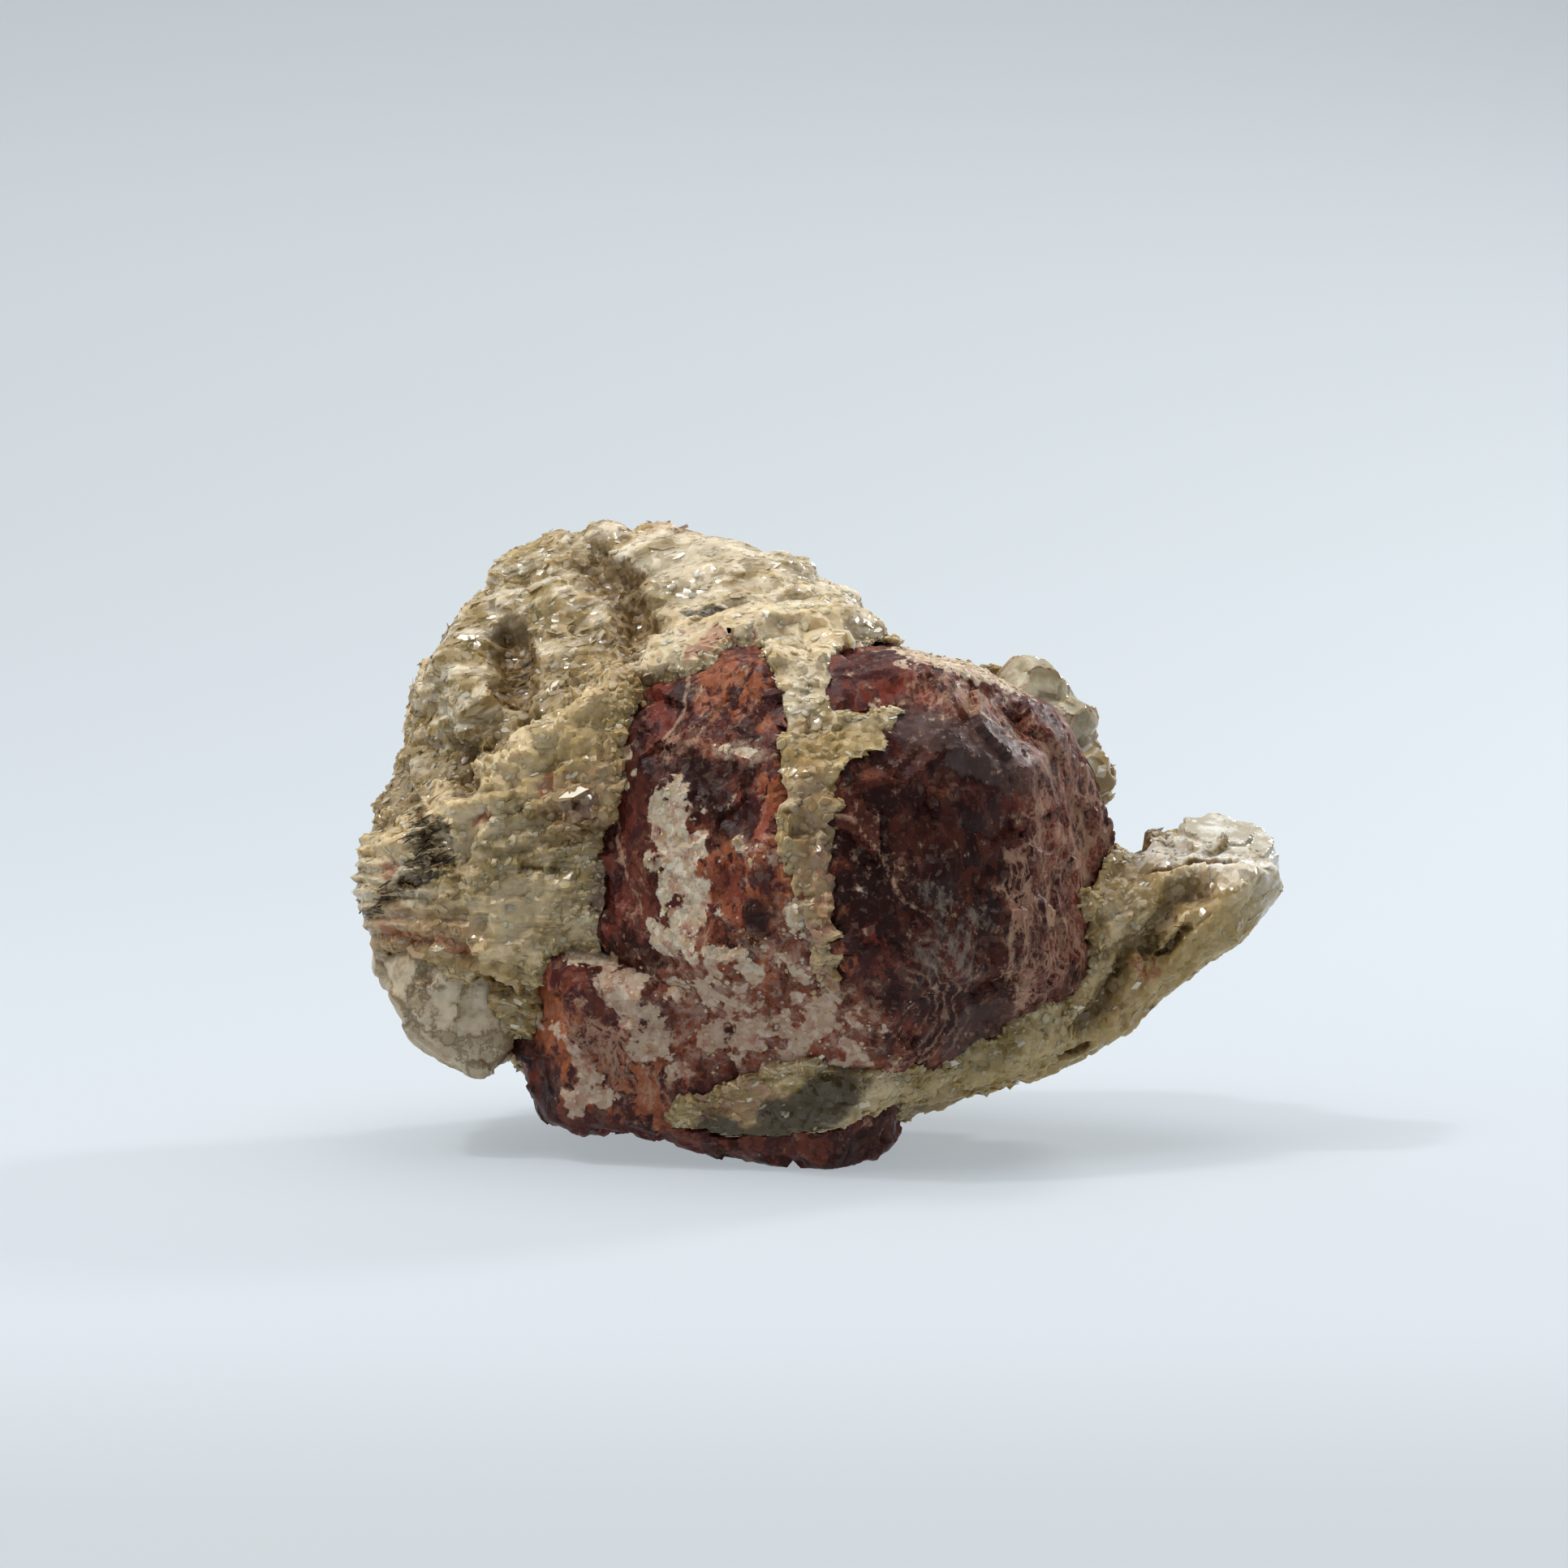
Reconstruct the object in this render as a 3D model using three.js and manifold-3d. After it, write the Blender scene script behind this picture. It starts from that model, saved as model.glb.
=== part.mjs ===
// Almandine garnet in mica schist: a hand specimen of one large worn crystal, with a smaller one grown into
// it, held in a mica-rich matrix that wraps round it and runs out to one side as a tail.
// Millimetres, +Z up, the front of the specimen towards -Y. The origin is the middle of the base.

import * as THREE from "three";
import { ConvexGeometry } from "three/addons/geometries/ConvexGeometry.js";
import { ImprovedNoise } from "three/addons/math/ImprovedNoise.js";
import { mergeVertices, toCreasedNormals } from "three/addons/utils/BufferGeometryUtils.js";
import Module from "manifold-3d";

const wasm = await Module();
wasm.setup();

// ---- Driving dimensions -------------------------------------------------------------------------

const SEAT_GAP = 0.3; // clearance left between two minerals that touch
const GARNET_CENTRE = [0.2, -2.5, 15.0]; // middle of the large crystal
const LOWER_CENTRE = [-7.0, -3.0, 8.0]; // middle of the crystal grown into its lower left
const DOME_CENTRE = [-9.3, 3.5, 17.6]; // middle of the schist dome, up and to the left of the garnet
const REST_HEIGHT = 0; // the specimen stands on this level
const CREASE = 22; // degrees; faces that meet at less than this are shaded as one

// ---- Directions and solids ----------------------------------------------------------------------

// A unit vector. Azimuth 0 faces the front (-Y) and 90 faces +X; elevation is above the horizontal.
function facing(azimuth, elevation) {
  const a = THREE.MathUtils.degToRad(azimuth);
  const e = THREE.MathUtils.degToRad(elevation);
  return new THREE.Vector3(Math.sin(a) * Math.cos(e), -Math.cos(a) * Math.cos(e), Math.sin(e));
}

// A closed geometry as a solid that can be joined and cut.
function solidOf(geometry) {
  const bare = geometry.index ? geometry.toNonIndexed() : geometry.clone();
  bare.deleteAttribute("normal");
  bare.deleteAttribute("uv");
  const merged = mergeVertices(bare, 1e-4);
  return new wasm.Manifold(
    new wasm.Mesh({
      numProp: 3,
      vertProperties: new Float32Array(merged.attributes.position.array),
      triVerts: new Uint32Array(merged.index.array),
    }),
  );
}

// The largest body of a solid, as a geometry: loose crumbs that a cut leaves are dropped.
function geometryOf(solid) {
  const bodies = solid.decompose().sort((a, b) => b.volume() - a.volume());
  const mesh = bodies[0].getMesh();
  const geometry = new THREE.BufferGeometry();
  geometry.setAttribute("position", new THREE.BufferAttribute(new Float32Array(mesh.vertProperties), 3));
  geometry.setIndex(new THREE.BufferAttribute(new Uint32Array(mesh.triVerts), 1));
  return toCreasedNormals(geometry, THREE.MathUtils.degToRad(CREASE));
}

const joined = (solids) => solids.reduce((all, next) => all.add(next));

// ---- Relief -------------------------------------------------------------------------------------

const perlin = new ImprovedNoise();

// Fractal noise at a point, about -1 to 1. Size is the width of its largest lumps in millimetres.
function fractal(point, size, octaves = 3) {
  let sum = 0;
  for (let octave = 0; octave < octaves; octave += 1) {
    const f = 2 ** octave / size;
    const shift = 11.7 * octave + 0.37;
    sum += perlin.noise(point.x * f + shift, point.y * f + shift, point.z * f + shift) / 1.7 ** octave;
  }
  return sum;
}

// Ledges of the mica, which bends round the garnet: a stair in the distance from the garnet's middle.
const LEDGE_HEIGHT = 2.1;
const garnetMiddle = new THREE.Vector3(...GARNET_CENTRE);
function ledges(point) {
  const layer = point.distanceTo(garnetMiddle) / LEDGE_HEIGHT + 0.9 * fractal(point, 9, 2);
  const within = layer - Math.floor(layer);
  return Math.min(within / 0.75, (1 - within) / 0.25) - 0.5;
}

// ---- Crystals: flat faces, each at a distance from the crystal's middle -------------------------

// Faces are [azimuth, elevation, distance]. The corners are where three faces meet inside all the others.
function crystal(centre, faces, grow = 0) {
  const planes = faces.map(([azimuth, elevation, distance]) => ({
    normal: facing(azimuth, elevation),
    distance: distance + grow,
  }));
  const corners = [];
  const inside = (p) => planes.every(({ normal, distance }) => normal.dot(p) <= distance + 1e-6);
  for (let i = 0; i < planes.length; i += 1) {
    for (let j = i + 1; j < planes.length; j += 1) {
      for (let k = j + 1; k < planes.length; k += 1) {
        const [a, b, c] = [planes[i], planes[j], planes[k]];
        const bc = new THREE.Vector3().crossVectors(b.normal, c.normal);
        const determinant = a.normal.dot(bc);
        if (Math.abs(determinant) < 1e-3) continue;
        const corner = bc
          .multiplyScalar(a.distance)
          .addScaledVector(new THREE.Vector3().crossVectors(c.normal, a.normal), b.distance)
          .addScaledVector(new THREE.Vector3().crossVectors(a.normal, b.normal), c.distance)
          .divideScalar(determinant);
        if (inside(corner)) corners.push(corner);
      }
    }
  }
  return solidOf(new ConvexGeometry(corners)).translate(centre);
}

const LARGE_FACES = [
  // front faces
  [5, 7, 14.4],
  [34, 4, 13.9],
  [61, 4, 13.9],
  [10, 42, 14.1],
  [-26, 26, 14.0],
  [-40, 2, 13.6],
  [-8, -26, 14.1],
  [36, -36, 14.0],
  [-44, -30, 13.4],
  [48, 34, 14.6],
  // faces seen edge on from the front, which make its outline
  [15, 80, 12.5],
  [90, 75, 12.2],
  [90, 62, 13.0],
  [90, 33, 14.6],
  [90, 15, 15.0],
  [90, -5, 15.4],
  [90, -19, 15.4],
  [90, -50, 13.6],
  [90, -80, 11.8],
  [-90, -66, 11.6],
  [-90, -23, 11.8],
  [-90, 17, 12.8],
  [-75, 58, 13.4],
  // back faces, inside the matrix
  [180, 0, 10.0],
  [140, 40, 12.6],
  [140, -35, 12.6],
  [-140, 35, 12.0],
  [-140, -40, 12.0],
];

const LOWER_FACES = [
  [-12, -14, 9.5],
  [50, -14, 13.1],
  [-56, -4, 9.8],
  [-24, -60, 9.4],
  [38, -50, 13.7],
  [-90, -26, 9.2],
  [-90, -81, 7.1],
  [90, -70, 10.4],
  [90, -32, 12.6],
  [-60, 40, 9.0],
  [0, 60, 6.0],
  [90, 20, 8.0],
  [180, 0, 7.0],
  [-130, -30, 9.5],
  [140, -30, 9.5],
  [-130, 40, 9.0],
];

// Faces of a broken grain: spread evenly over the sphere, at distances that differ by a fifth.
function grainFaces(size, seed, count = 17) {
  const golden = 180 * (3 - Math.sqrt(5));
  return Array.from({ length: count }, (_, i) => {
    const elevation = THREE.MathUtils.radToDeg(Math.asin(1 - (2 * i + 1) / count));
    const spread = 0.5 + 0.5 * Math.sin(12.9898 * (i + 1) + 78.233 * seed);
    return [golden * i + 47 * seed, elevation, size * (0.88 + 0.2 * spread)];
  });
}

// The two crystals, grown together.
function crystals(grow = 0) {
  return crystal(GARNET_CENTRE, LARGE_FACES, grow).add(crystal(LOWER_CENTRE, LOWER_FACES, grow));
}

// ---- Lumps: boulders with broken faces, ledges and rough skin -----------------------------------

// A lump's surface lies at one distance in each direction from its middle: that of an ellipsoid, or of
// a box with rounded edges where `boxy` is more than 2, cut back to its broken faces, then roughened.
function lump(form) {
  const { at, radii, boxy = 2, turn = [0, 0, 0], cuts = [] } = form;
  const { steps = 8, rough = 0.5, ledge = 0, size = 5 } = form;
  return (grow = 0) => {
    const middle = new THREE.Vector3(...at);
    const back = new THREE.Quaternion()
      .setFromEuler(new THREE.Euler(...turn.map(THREE.MathUtils.degToRad)))
      .invert();
    const planes = cuts.map(([azimuth, elevation, distance]) => ({
      normal: facing(azimuth, elevation),
      distance,
    }));
    const bare = new THREE.IcosahedronGeometry(1, steps);
    bare.deleteAttribute("normal");
    bare.deleteAttribute("uv");
    const shape = mergeVertices(bare, 1e-4);
    const position = shape.attributes.position;
    const u = new THREE.Vector3();
    const local = new THREE.Vector3();
    const point = new THREE.Vector3();
    for (let i = 0; i < position.count; i += 1) {
      u.fromBufferAttribute(position, i).normalize();
      local.copy(u).applyQuaternion(back);
      const parts = [local.x / radii[0], local.y / radii[1], local.z / radii[2]];
      const sum = parts.reduce((all, part) => all + Math.abs(part) ** boxy, 0);
      let reach = sum ** (-1 / boxy);
      for (const { normal, distance } of planes) {
        const towards = normal.dot(u);
        if (towards > 0.05) reach = Math.min(reach, distance / towards);
      }
      point.copy(middle).addScaledVector(u, reach);
      reach += rough * fractal(point, size) + ledge * ledges(point) + grow;
      point.copy(middle).addScaledVector(u, reach);
      position.setXYZ(i, point.x, point.y, point.z);
    }
    return solidOf(shape);
  };
}

const dome = lump({
  at: DOME_CENTRE,
  radii: [16.6, 12.0, 16.4],
  cuts: [
    // its outline from the front
    [-90, -21, 15.4],
    [-90, 10, 14.1],
    [-90, 31, 13.7],
    [-90, 46, 14.4],
    [-90, 62, 15.1],
    [90, 86, 15.2],
    [90, 63, 15.5],
    [90, 50, 16.0],
    // its broken faces
    [-20, 44, 12.4],
    [-62, 10, 13.2],
    [172, 4, 10.0],
    [-152, -24, 10.4],
    [-128, 22, 11.8],
    [138, 42, 11.6],
    [-170, 52, 12.4],
    [-100, -40, 13.6],
  ],
  steps: 8,
  rough: 0.6,
  ledge: 0.45,
});

const shelf = lump({
  at: [-13.4, -2.5, 16.4],
  radii: [12.0, 8.4, 10.8],
  turn: [0, -42, 0],
  boxy: 2.5,
  cuts: [
    [-60, 48, 7.6],
    [-90, 5, 10.8],
    [-90, -22, 10.7],
    [-90, -60, 9.6],
    [-50, -6, 10.6],
  ],
  steps: 7,
  rough: 0.5,
  ledge: 0.3,
  size: 4,
});

const brow = lump({
  at: [-3.6, -4.2, 26.0],
  radii: [8.8, 5.4, 2.5],
  turn: [0, -5, 0],
  steps: 5,
  rough: 0.4,
  size: 4,
});

// Matrix that laps over the upper left edge of the large crystal.
const lap = lump({
  at: [-11.8, -7.6, 20.2],
  radii: [2.9, 4.2, 6.2],
  turn: [0, 12, 0],
  steps: 4,
  rough: 0.3,
  size: 3,
});

const backing = lump({
  at: [2.6, 5.0, 14.2],
  radii: [13.4, 9.0, 12.4],
  boxy: 2.3,
  cuts: [
    [90, 68, 11.8],
    [124, 34, 11.8],
    [178, -10, 8.8],
    [128, -8, 11.2],
    [150, -45, 9.8],
  ],
  steps: 6,
  rough: 0.7,
  ledge: 0.4,
});

const foot = lump({
  at: [-4.5, 5.5, 6.0],
  radii: [12.0, 7.6, 8.0],
  boxy: 2.5,
  cuts: [
    [-120, -30, 9.5],
    [-35, -60, 7.4],
    [40, -60, 7.6],
  ],
  steps: 4,
  rough: 0.6,
});

const tail = lump({
  at: [14.0, -1.0, 9.6],
  radii: [13.0, 7.0, 6.6],
  turn: [0, -32, 0],
  boxy: 2.6,
  cuts: [
    [90, -52, 3.9],
    [90, -64, 4.1],
    [72, -56, 4.5],
    [90, 12, 10.9],
    [90, 50, 11.0],
    [-90, 83, 6.2],
    [0, 50, 7.0],
    [52, -8, 9.2],
    [122, 6, 9.0],
    [180, -30, 6.0],
  ],
  steps: 8,
  rough: 0.4,
  ledge: 0.35,
  size: 4,
});

// Granular crust of matrix under the right side of the large crystal.
const crust = lump({
  at: [9.4, -6.6, 5.8],
  radii: [6.4, 4.2, 2.1],
  turn: [0, -27, 0],
  steps: 4,
  rough: 0.35,
  size: 3,
});

// Strip of matrix along the upper right edge of the large crystal, in which the grey quartz sits.
const collar = lump({
  at: [10.6, 5.0, 19.6],
  radii: [4.9, 4.0, 6.4],
  turn: [0, -34, 0],
  boxy: 2.3,
  steps: 4,
  rough: 0.35,
  size: 3,
});

// Angular grains of grey quartz, as [middle, size].
const GREY_GRAINS = [
  [[11.7, 3.3, 23.8], 2.35],
  [[13.6, 2.4, 22.3], 1.75],
  [[14.2, 3.6, 20.9], 1.6],
  [[14.4, 1.9, 19.5], 1.85],
];

function greyGrains(grow = 0) {
  return joined(GREY_GRAINS.map(([at, size], index) => crystal(at, grainFaces(size, index + 1), grow)));
}

const whiteGrain = lump({
  at: [-19.4, -4.0, 7.9],
  radii: [4.4, 4.8, 4.4],
  boxy: 3,
  cuts: [
    [-90, -14, 3.2],
    [-90, -32, 2.6],
    [-90, -62, 2.6],
    [90, -66, 3.7],
    [-20, -20, 4.8],
  ],
  steps: 5,
  rough: 0.22,
  size: 4,
});

// ---- The mica book at the end of the tail -------------------------------------------------------

// Sheets are [thickness, size, turn, slide]: each lies on the one below, and a few are broken shorter.
const BOOK_CENTRE = [22.2, -0.2, 15.4];
const BOOK_TILT = [16, 6, 0]; // degrees, towards the front and down to the right
const BOOK_OUTLINE = [
  [-3.0, -1.6],
  [-1.2, -3.4],
  [1.4, -3.2],
  [2.6, -0.6],
  [1.9, 2.6],
  [-0.8, 3.6],
  [-3.1, 1.9],
];
const BOOK_SHEETS = [
  [0.7, 0.9, 0, 0],
  [0.5, 1.0, 4, 0.1],
  [0.6, 0.94, -3, 0.25],
  [0.45, 0.86, 6, 0.1],
  [0.35, 0.66, -4, -0.5],
];

function micaBook(grow = 0) {
  const sheets = [];
  let level = -1.2;
  for (const [thickness, size, turn, slide] of BOOK_SHEETS) {
    const reach = size + grow / 3;
    const points = BOOK_OUTLINE.map(([x, y]) => new THREE.Vector2(x * reach + slide, y * reach));
    const depth = thickness + 2 * grow + 0.02;
    const sheet = new THREE.ExtrudeGeometry(new THREE.Shape(points), { depth, bevelEnabled: false });
    sheet.rotateZ(THREE.MathUtils.degToRad(turn));
    sheet.translate(0, 0, level - grow);
    sheet.rotateX(THREE.MathUtils.degToRad(BOOK_TILT[0]));
    sheet.rotateY(THREE.MathUtils.degToRad(BOOK_TILT[1]));
    sheet.translate(...BOOK_CENTRE);
    sheets.push(solidOf(sheet));
    level += thickness;
  }
  return joined(sheets);
}

// ---- Inlays: matrix set into cracks in the front of the crystals --------------------------------

const INLAY_PROUD = 0.35; // how far matrix stands out of the crystals
const INLAY_DEEP = 1.3; // how far it goes in
const INLAY_REACH = [26, 3]; // the outlines run back between these distances in front of the origin

// Outlines are [x, z] as seen from the front.
const VEIN_OUTLINE = [
  [1.4, 28.9],
  [0.8, 26.2],
  [0.4, 23.8],
  [2.3, 23.5],
  [4.1, 23.9],
  [3.5, 21.9],
  [1.6, 21.4],
  [0.8, 20.5],
  [1.2, 18.6],
  [0.8, 16.9],
  [1.0, 15.2],
  [0.6, 13.8],
  [1.3, 12.0],
  [1.1, 10.3],
  [0.2, 9.6],
  [-0.7, 10.6],
  [-0.6, 12.4],
  [-1.3, 14.2],
  [-1.8, 15.6],
  [-2.3, 17.4],
  [-2.0, 19.6],
  [-2.4, 21.2],
  [-1.9, 23.6],
  [-2.6, 25.8],
  [-3.0, 28.9],
];
const SEAM_OUTLINE = [
  [8.6, 5.8],
  [5.6, 5.0],
  [3.4, 5.3],
  [1.6, 5.2],
  [-0.5, 5.7],
  [-2.6, 5.2],
  [-4.7, 4.2],
  [-7.2, 3.3],
  [-7.6, 2.3],
  [-5.2, 1.9],
  [-2.6, 2.1],
  [-0.9, 2.4],
  [0.6, 2.3],
  [2.2, 2.9],
  [4.4, 3.5],
  [7.4, 4.2],
];

function inlay(points, grow = 0) {
  const outline = new THREE.Shape(points.map(([x, z]) => new THREE.Vector2(x, z)));
  const prism = new THREE.ExtrudeGeometry(outline, {
    depth: INLAY_REACH[0] - INLAY_REACH[1],
    bevelEnabled: grow > 0,
    bevelSize: grow,
    bevelThickness: grow,
    bevelSegments: 1,
  });
  prism.rotateX(Math.PI / 2).translate(0, -INLAY_REACH[1], 0);
  const shell = crystals(INLAY_PROUD + grow).subtract(crystals(-INLAY_DEEP - grow));
  return solidOf(prism).intersect(shell);
}

// ---- The minerals -------------------------------------------------------------------------------

// A hollow broken into the surface, as [middle, radii].
const HOLLOWS = [
  [[-11.8, -4.8, 30.4], [1.7, 2.4, 1.5]],
  [[-10.2, -5.8, 28.8], [1.6, 2.0, 1.2]],
  [[-15.9, -7.0, 26.6], [1.3, 1.8, 1.0]],
  [[-19.2, -7.4, 21.4], [1.2, 1.6, 0.9]],
  [[-20.3, -9.2, 16.8], [1.3, 1.2, 1.6]],
  [[17.6, -6.6, 10.6], [1.0, 1.8, 1.8]],
];
function hollows() {
  return joined(HOLLOWS.map(([at, radii]) => lump({ at, radii, steps: 2, rough: 0.25, size: 2 })()));
}

function belowRest() {
  const depth = 20;
  return solidOf(new THREE.BoxGeometry(120, 120, depth).translate(0, 0, REST_HEIGHT - depth / 2));
}

const garnet = crystals()
  .subtract(crust(SEAT_GAP))
  .subtract(inlay(VEIN_OUTLINE, SEAT_GAP))
  .subtract(inlay(SEAM_OUTLINE, SEAT_GAP))
  .subtract(belowRest());
const whiteQuartz = whiteGrain().subtract(crystals(SEAT_GAP));
const greyQuartz = greyGrains().subtract(crystals(SEAT_GAP));
const muscovite = micaBook();
const schist = joined([dome(), shelf(), brow(), lap(), backing(), foot(), tail(), collar()])
  .subtract(crystals(SEAT_GAP))
  .add(crust())
  .add(inlay(VEIN_OUTLINE))
  .add(inlay(SEAM_OUTLINE))
  .subtract(whiteGrain(SEAT_GAP))
  .subtract(greyGrains(SEAT_GAP))
  .subtract(micaBook(SEAT_GAP))
  .subtract(hollows())
  .subtract(belowRest());

// ---- Nodes --------------------------------------------------------------------------------------

function mineral(name, solid, { color, roughness, metalness = 0 }) {
  const material = new THREE.MeshStandardMaterial({ color, roughness, metalness });
  const mesh = new THREE.Mesh(geometryOf(solid), material);
  mesh.name = name;
  return mesh;
}

const minerals = [
  mineral("garnet_crystal", garnet, { color: 0x6b2a28, roughness: 0.45 }),
  mineral("schist_matrix", schist, { color: 0xb9a987, roughness: 0.6 }),
  mineral("quartz_lump", whiteQuartz, { color: 0xd8d6c8, roughness: 0.5 }),
  mineral("grey_quartz", greyQuartz, { color: 0x9a9a86, roughness: 0.3 }),
  mineral("muscovite_book", muscovite, { color: 0xc9c8b8, roughness: 0.2 }),
];

// The dimensions above are from the middle of the large crystal's foot; the origin goes to the middle of
// the specimen's base.
const extent = new THREE.Box3();
for (const { geometry } of minerals) {
  geometry.computeBoundingBox();
  extent.union(geometry.boundingBox);
}
const middle = extent.getCenter(new THREE.Vector3());
for (const { geometry } of minerals) geometry.translate(-middle.x, -middle.y, 0);

const specimen = new THREE.Group();
specimen.add(...minerals);

export default specimen;
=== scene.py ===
# %% [markdown]
# # A garnet in mica schist
#
# The specimen is a worn almandine crystal, about three centimetres across, held in a curved lump of
# mica schist. The solids give each mineral its size and its place. This script gives them their
# looks: every solid is copied, worn and broken up into a fine mesh, and the small things that a
# solid can't hold, such as mica flakes and quartz grains, are strewn over it.

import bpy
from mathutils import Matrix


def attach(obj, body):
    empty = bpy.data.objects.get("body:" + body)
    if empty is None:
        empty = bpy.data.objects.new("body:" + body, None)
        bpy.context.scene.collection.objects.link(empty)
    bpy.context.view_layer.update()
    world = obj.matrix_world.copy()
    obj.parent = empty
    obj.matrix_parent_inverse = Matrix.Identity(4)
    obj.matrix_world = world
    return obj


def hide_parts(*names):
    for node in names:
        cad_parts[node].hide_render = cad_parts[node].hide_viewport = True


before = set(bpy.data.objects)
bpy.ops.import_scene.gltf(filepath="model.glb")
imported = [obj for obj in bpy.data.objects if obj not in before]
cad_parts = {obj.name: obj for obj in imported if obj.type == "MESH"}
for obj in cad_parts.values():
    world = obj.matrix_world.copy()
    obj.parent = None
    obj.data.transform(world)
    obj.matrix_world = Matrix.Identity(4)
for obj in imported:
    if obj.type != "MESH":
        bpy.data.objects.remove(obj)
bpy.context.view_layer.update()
print("solids:", sorted(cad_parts))

# %% [markdown]
# Everything in Blender is in metres, but a stone this small is easier to think about in
# millimetres. The lists of marks further down give places on the stone's front as (x, z) in
# millimetres: x runs to the right and z up. The schist is wrapped round the garnet, so outwards
# means away from the garnet's middle.

# %% Units and the middle of the garnet
import math

import bpy
import numpy as np
from mathutils import Vector, noise

MM = 0.001
GARNET_MIDDLE = (0.1, -0.9, 15.0)
print("one millimetre is", MM, "of Blender's units")


def select_only(piece):
    """Selects one object and makes it the active one."""
    bpy.ops.object.select_all(action="DESELECT")
    piece.select_set(True)
    bpy.context.view_layer.objects.active = piece


def triangles(piece):
    """How many triangles a piece has."""
    return sum(len(face.vertices) - 2 for face in piece.data.polygons)


# %% [markdown]
# ## Node trees as sums
#
# Both the relief of the stone and its colours are worked out by nodes. Written out one by one, a
# few lines of arithmetic would fill a page, so a small class wraps a node's socket: adding two of
# them adds the Math node. A number is mixed with a Math node and a vector with a Vector Math node.
# Every other node is added by name, with its settings first and the values of its sockets after
# them.

# %% A socket that can be used in sums


class Value:
    """One output socket of a node, for use in sums."""

    def __init__(self, graph, socket):
        self.graph = graph
        self.socket = socket

    def vector_math(self, operation, inputs, output=0):
        return self.graph.add("ShaderNodeVectorMath", {"operation": operation}, inputs, output)

    def sum_with(self, operation, other, swapped=False):
        """A Math node, or a Vector Math node where either side is a vector or a colour."""
        pair = (other, self) if swapped else (self, other)
        sockets = [v.socket.type for v in pair if isinstance(v, Value)]
        if "VECTOR" in sockets or "RGBA" in sockets:
            pair = [(v,) * 3 if isinstance(v, (int, float)) else v for v in pair]
            return self.vector_math(operation, dict(enumerate(pair)))
        return self.graph.add("ShaderNodeMath", {"operation": operation}, dict(enumerate(pair)))

    def __add__(self, other):
        return self.sum_with("ADD", other)

    def __radd__(self, other):
        return self.sum_with("ADD", other)

    def __sub__(self, other):
        return self.sum_with("SUBTRACT", other)

    def __rsub__(self, other):
        return self.sum_with("SUBTRACT", other, swapped=True)

    def __mul__(self, other):
        return self.sum_with("MULTIPLY", other)

    def __rmul__(self, other):
        return self.sum_with("MULTIPLY", other)

    def __truediv__(self, other):
        return self.sum_with("DIVIDE", other)

    def __pow__(self, other):
        return self.sum_with("POWER", other)

    def at_least(self, other):
        return self.sum_with("MAXIMUM", other)

    def at_most(self, other):
        return self.sum_with("MINIMUM", other)

    def above(self, other):
        return self.sum_with("GREATER_THAN", other)

    def size(self):
        """The length of a vector."""
        return self.vector_math("LENGTH", {0: self}, output=1)

    def unit(self):
        """A vector's direction, at length 1."""
        return self.vector_math("NORMALIZE", {0: self})

    def along(self, other):
        """How far one vector reaches along another."""
        return self.vector_math("DOT_PRODUCT", {0: self, 1: other}, output=1)

    def across(self, other):
        """A vector square to both."""
        return self.vector_math("CROSS_PRODUCT", {0: self, 1: other})

    def past_whole(self):
        """What is left of a number above the whole number below it, which makes a saw tooth."""
        return self.graph.add("ShaderNodeMath", {"operation": "FRACT"}, {0: self})

    def part(self, letter):
        """The X, Y or Z of a vector, as a number."""
        return self.graph.add("ShaderNodeSeparateXYZ", {}, {0: self}, output="XYZ".index(letter))

    def step(self, low, high):
        """0 below low, 1 above high and a smooth rise between them."""
        settings = {"interpolation_type": "SMOOTHSTEP", "clamp": True}
        return self.graph.add("ShaderNodeMapRange", settings, {0: self, 1: low, 2: high})


# %% A node tree that adds nodes in one call


class Graph:
    """A shader or geometry node tree."""

    def __init__(self, tree):
        self.tree = tree

    def add(self, kind, settings=None, inputs=None, output=0):
        """Adds a node and returns one of its outputs."""
        node = self.tree.nodes.new(kind)
        for name, setting in (settings or {}).items():
            setattr(node, name, setting)
        for name, value in (inputs or {}).items():
            if isinstance(value, Value):
                self.tree.links.new(value.socket, node.inputs[name])
            else:
                node.inputs[name].default_value = value
        return Value(self, node.outputs[output])

    def mix(self, share, first, second):
        """First where share is 0 and second where it is 1. Both are colours."""
        ends = {6: colour(first), 7: colour(second)}  # the Mix node's sockets for a pair of colours
        return self.add("ShaderNodeMix", {"data_type": "RGBA"}, {0: share, **ends}, output=2)

    def noise(self, place, size, detail=3.0, roughness=0.5, output=0, **settings):
        """Soft noise, mostly from 0.3 to 0.7, whose largest lumps are about size wide."""
        inputs = {"Vector": place, "Scale": 1 / size, "Detail": detail, "Roughness": roughness}
        return self.add("ShaderNodeTexNoise", settings, inputs, output)

    def cells(self, place, size, output="Distance", randomness=1.0, **settings):
        """A pattern of cells about size wide."""
        inputs = {"Vector": place, "Scale": 1 / size, "Randomness": randomness}
        return self.add("ShaderNodeTexVoronoi", settings, inputs, output)


def colour(value):
    """A colour as Blender wants it, with its alpha, or the socket it comes from."""
    return value if isinstance(value, Value) else (*value, 1.0)


# %% [markdown]
# ## From solid to stone
#
# A solid arrives as loose triangles. Its copy is welded first. The Remesh modifier then turns it
# into an even skin of small squares, which is what fine relief needs: without it, a bump would show
# only where the solid happens to have corners. Smoothing wears the crystal edges that the years
# have rounded.

# %% Copying a solid
SAME_POINT = 0.002 * MM


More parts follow.
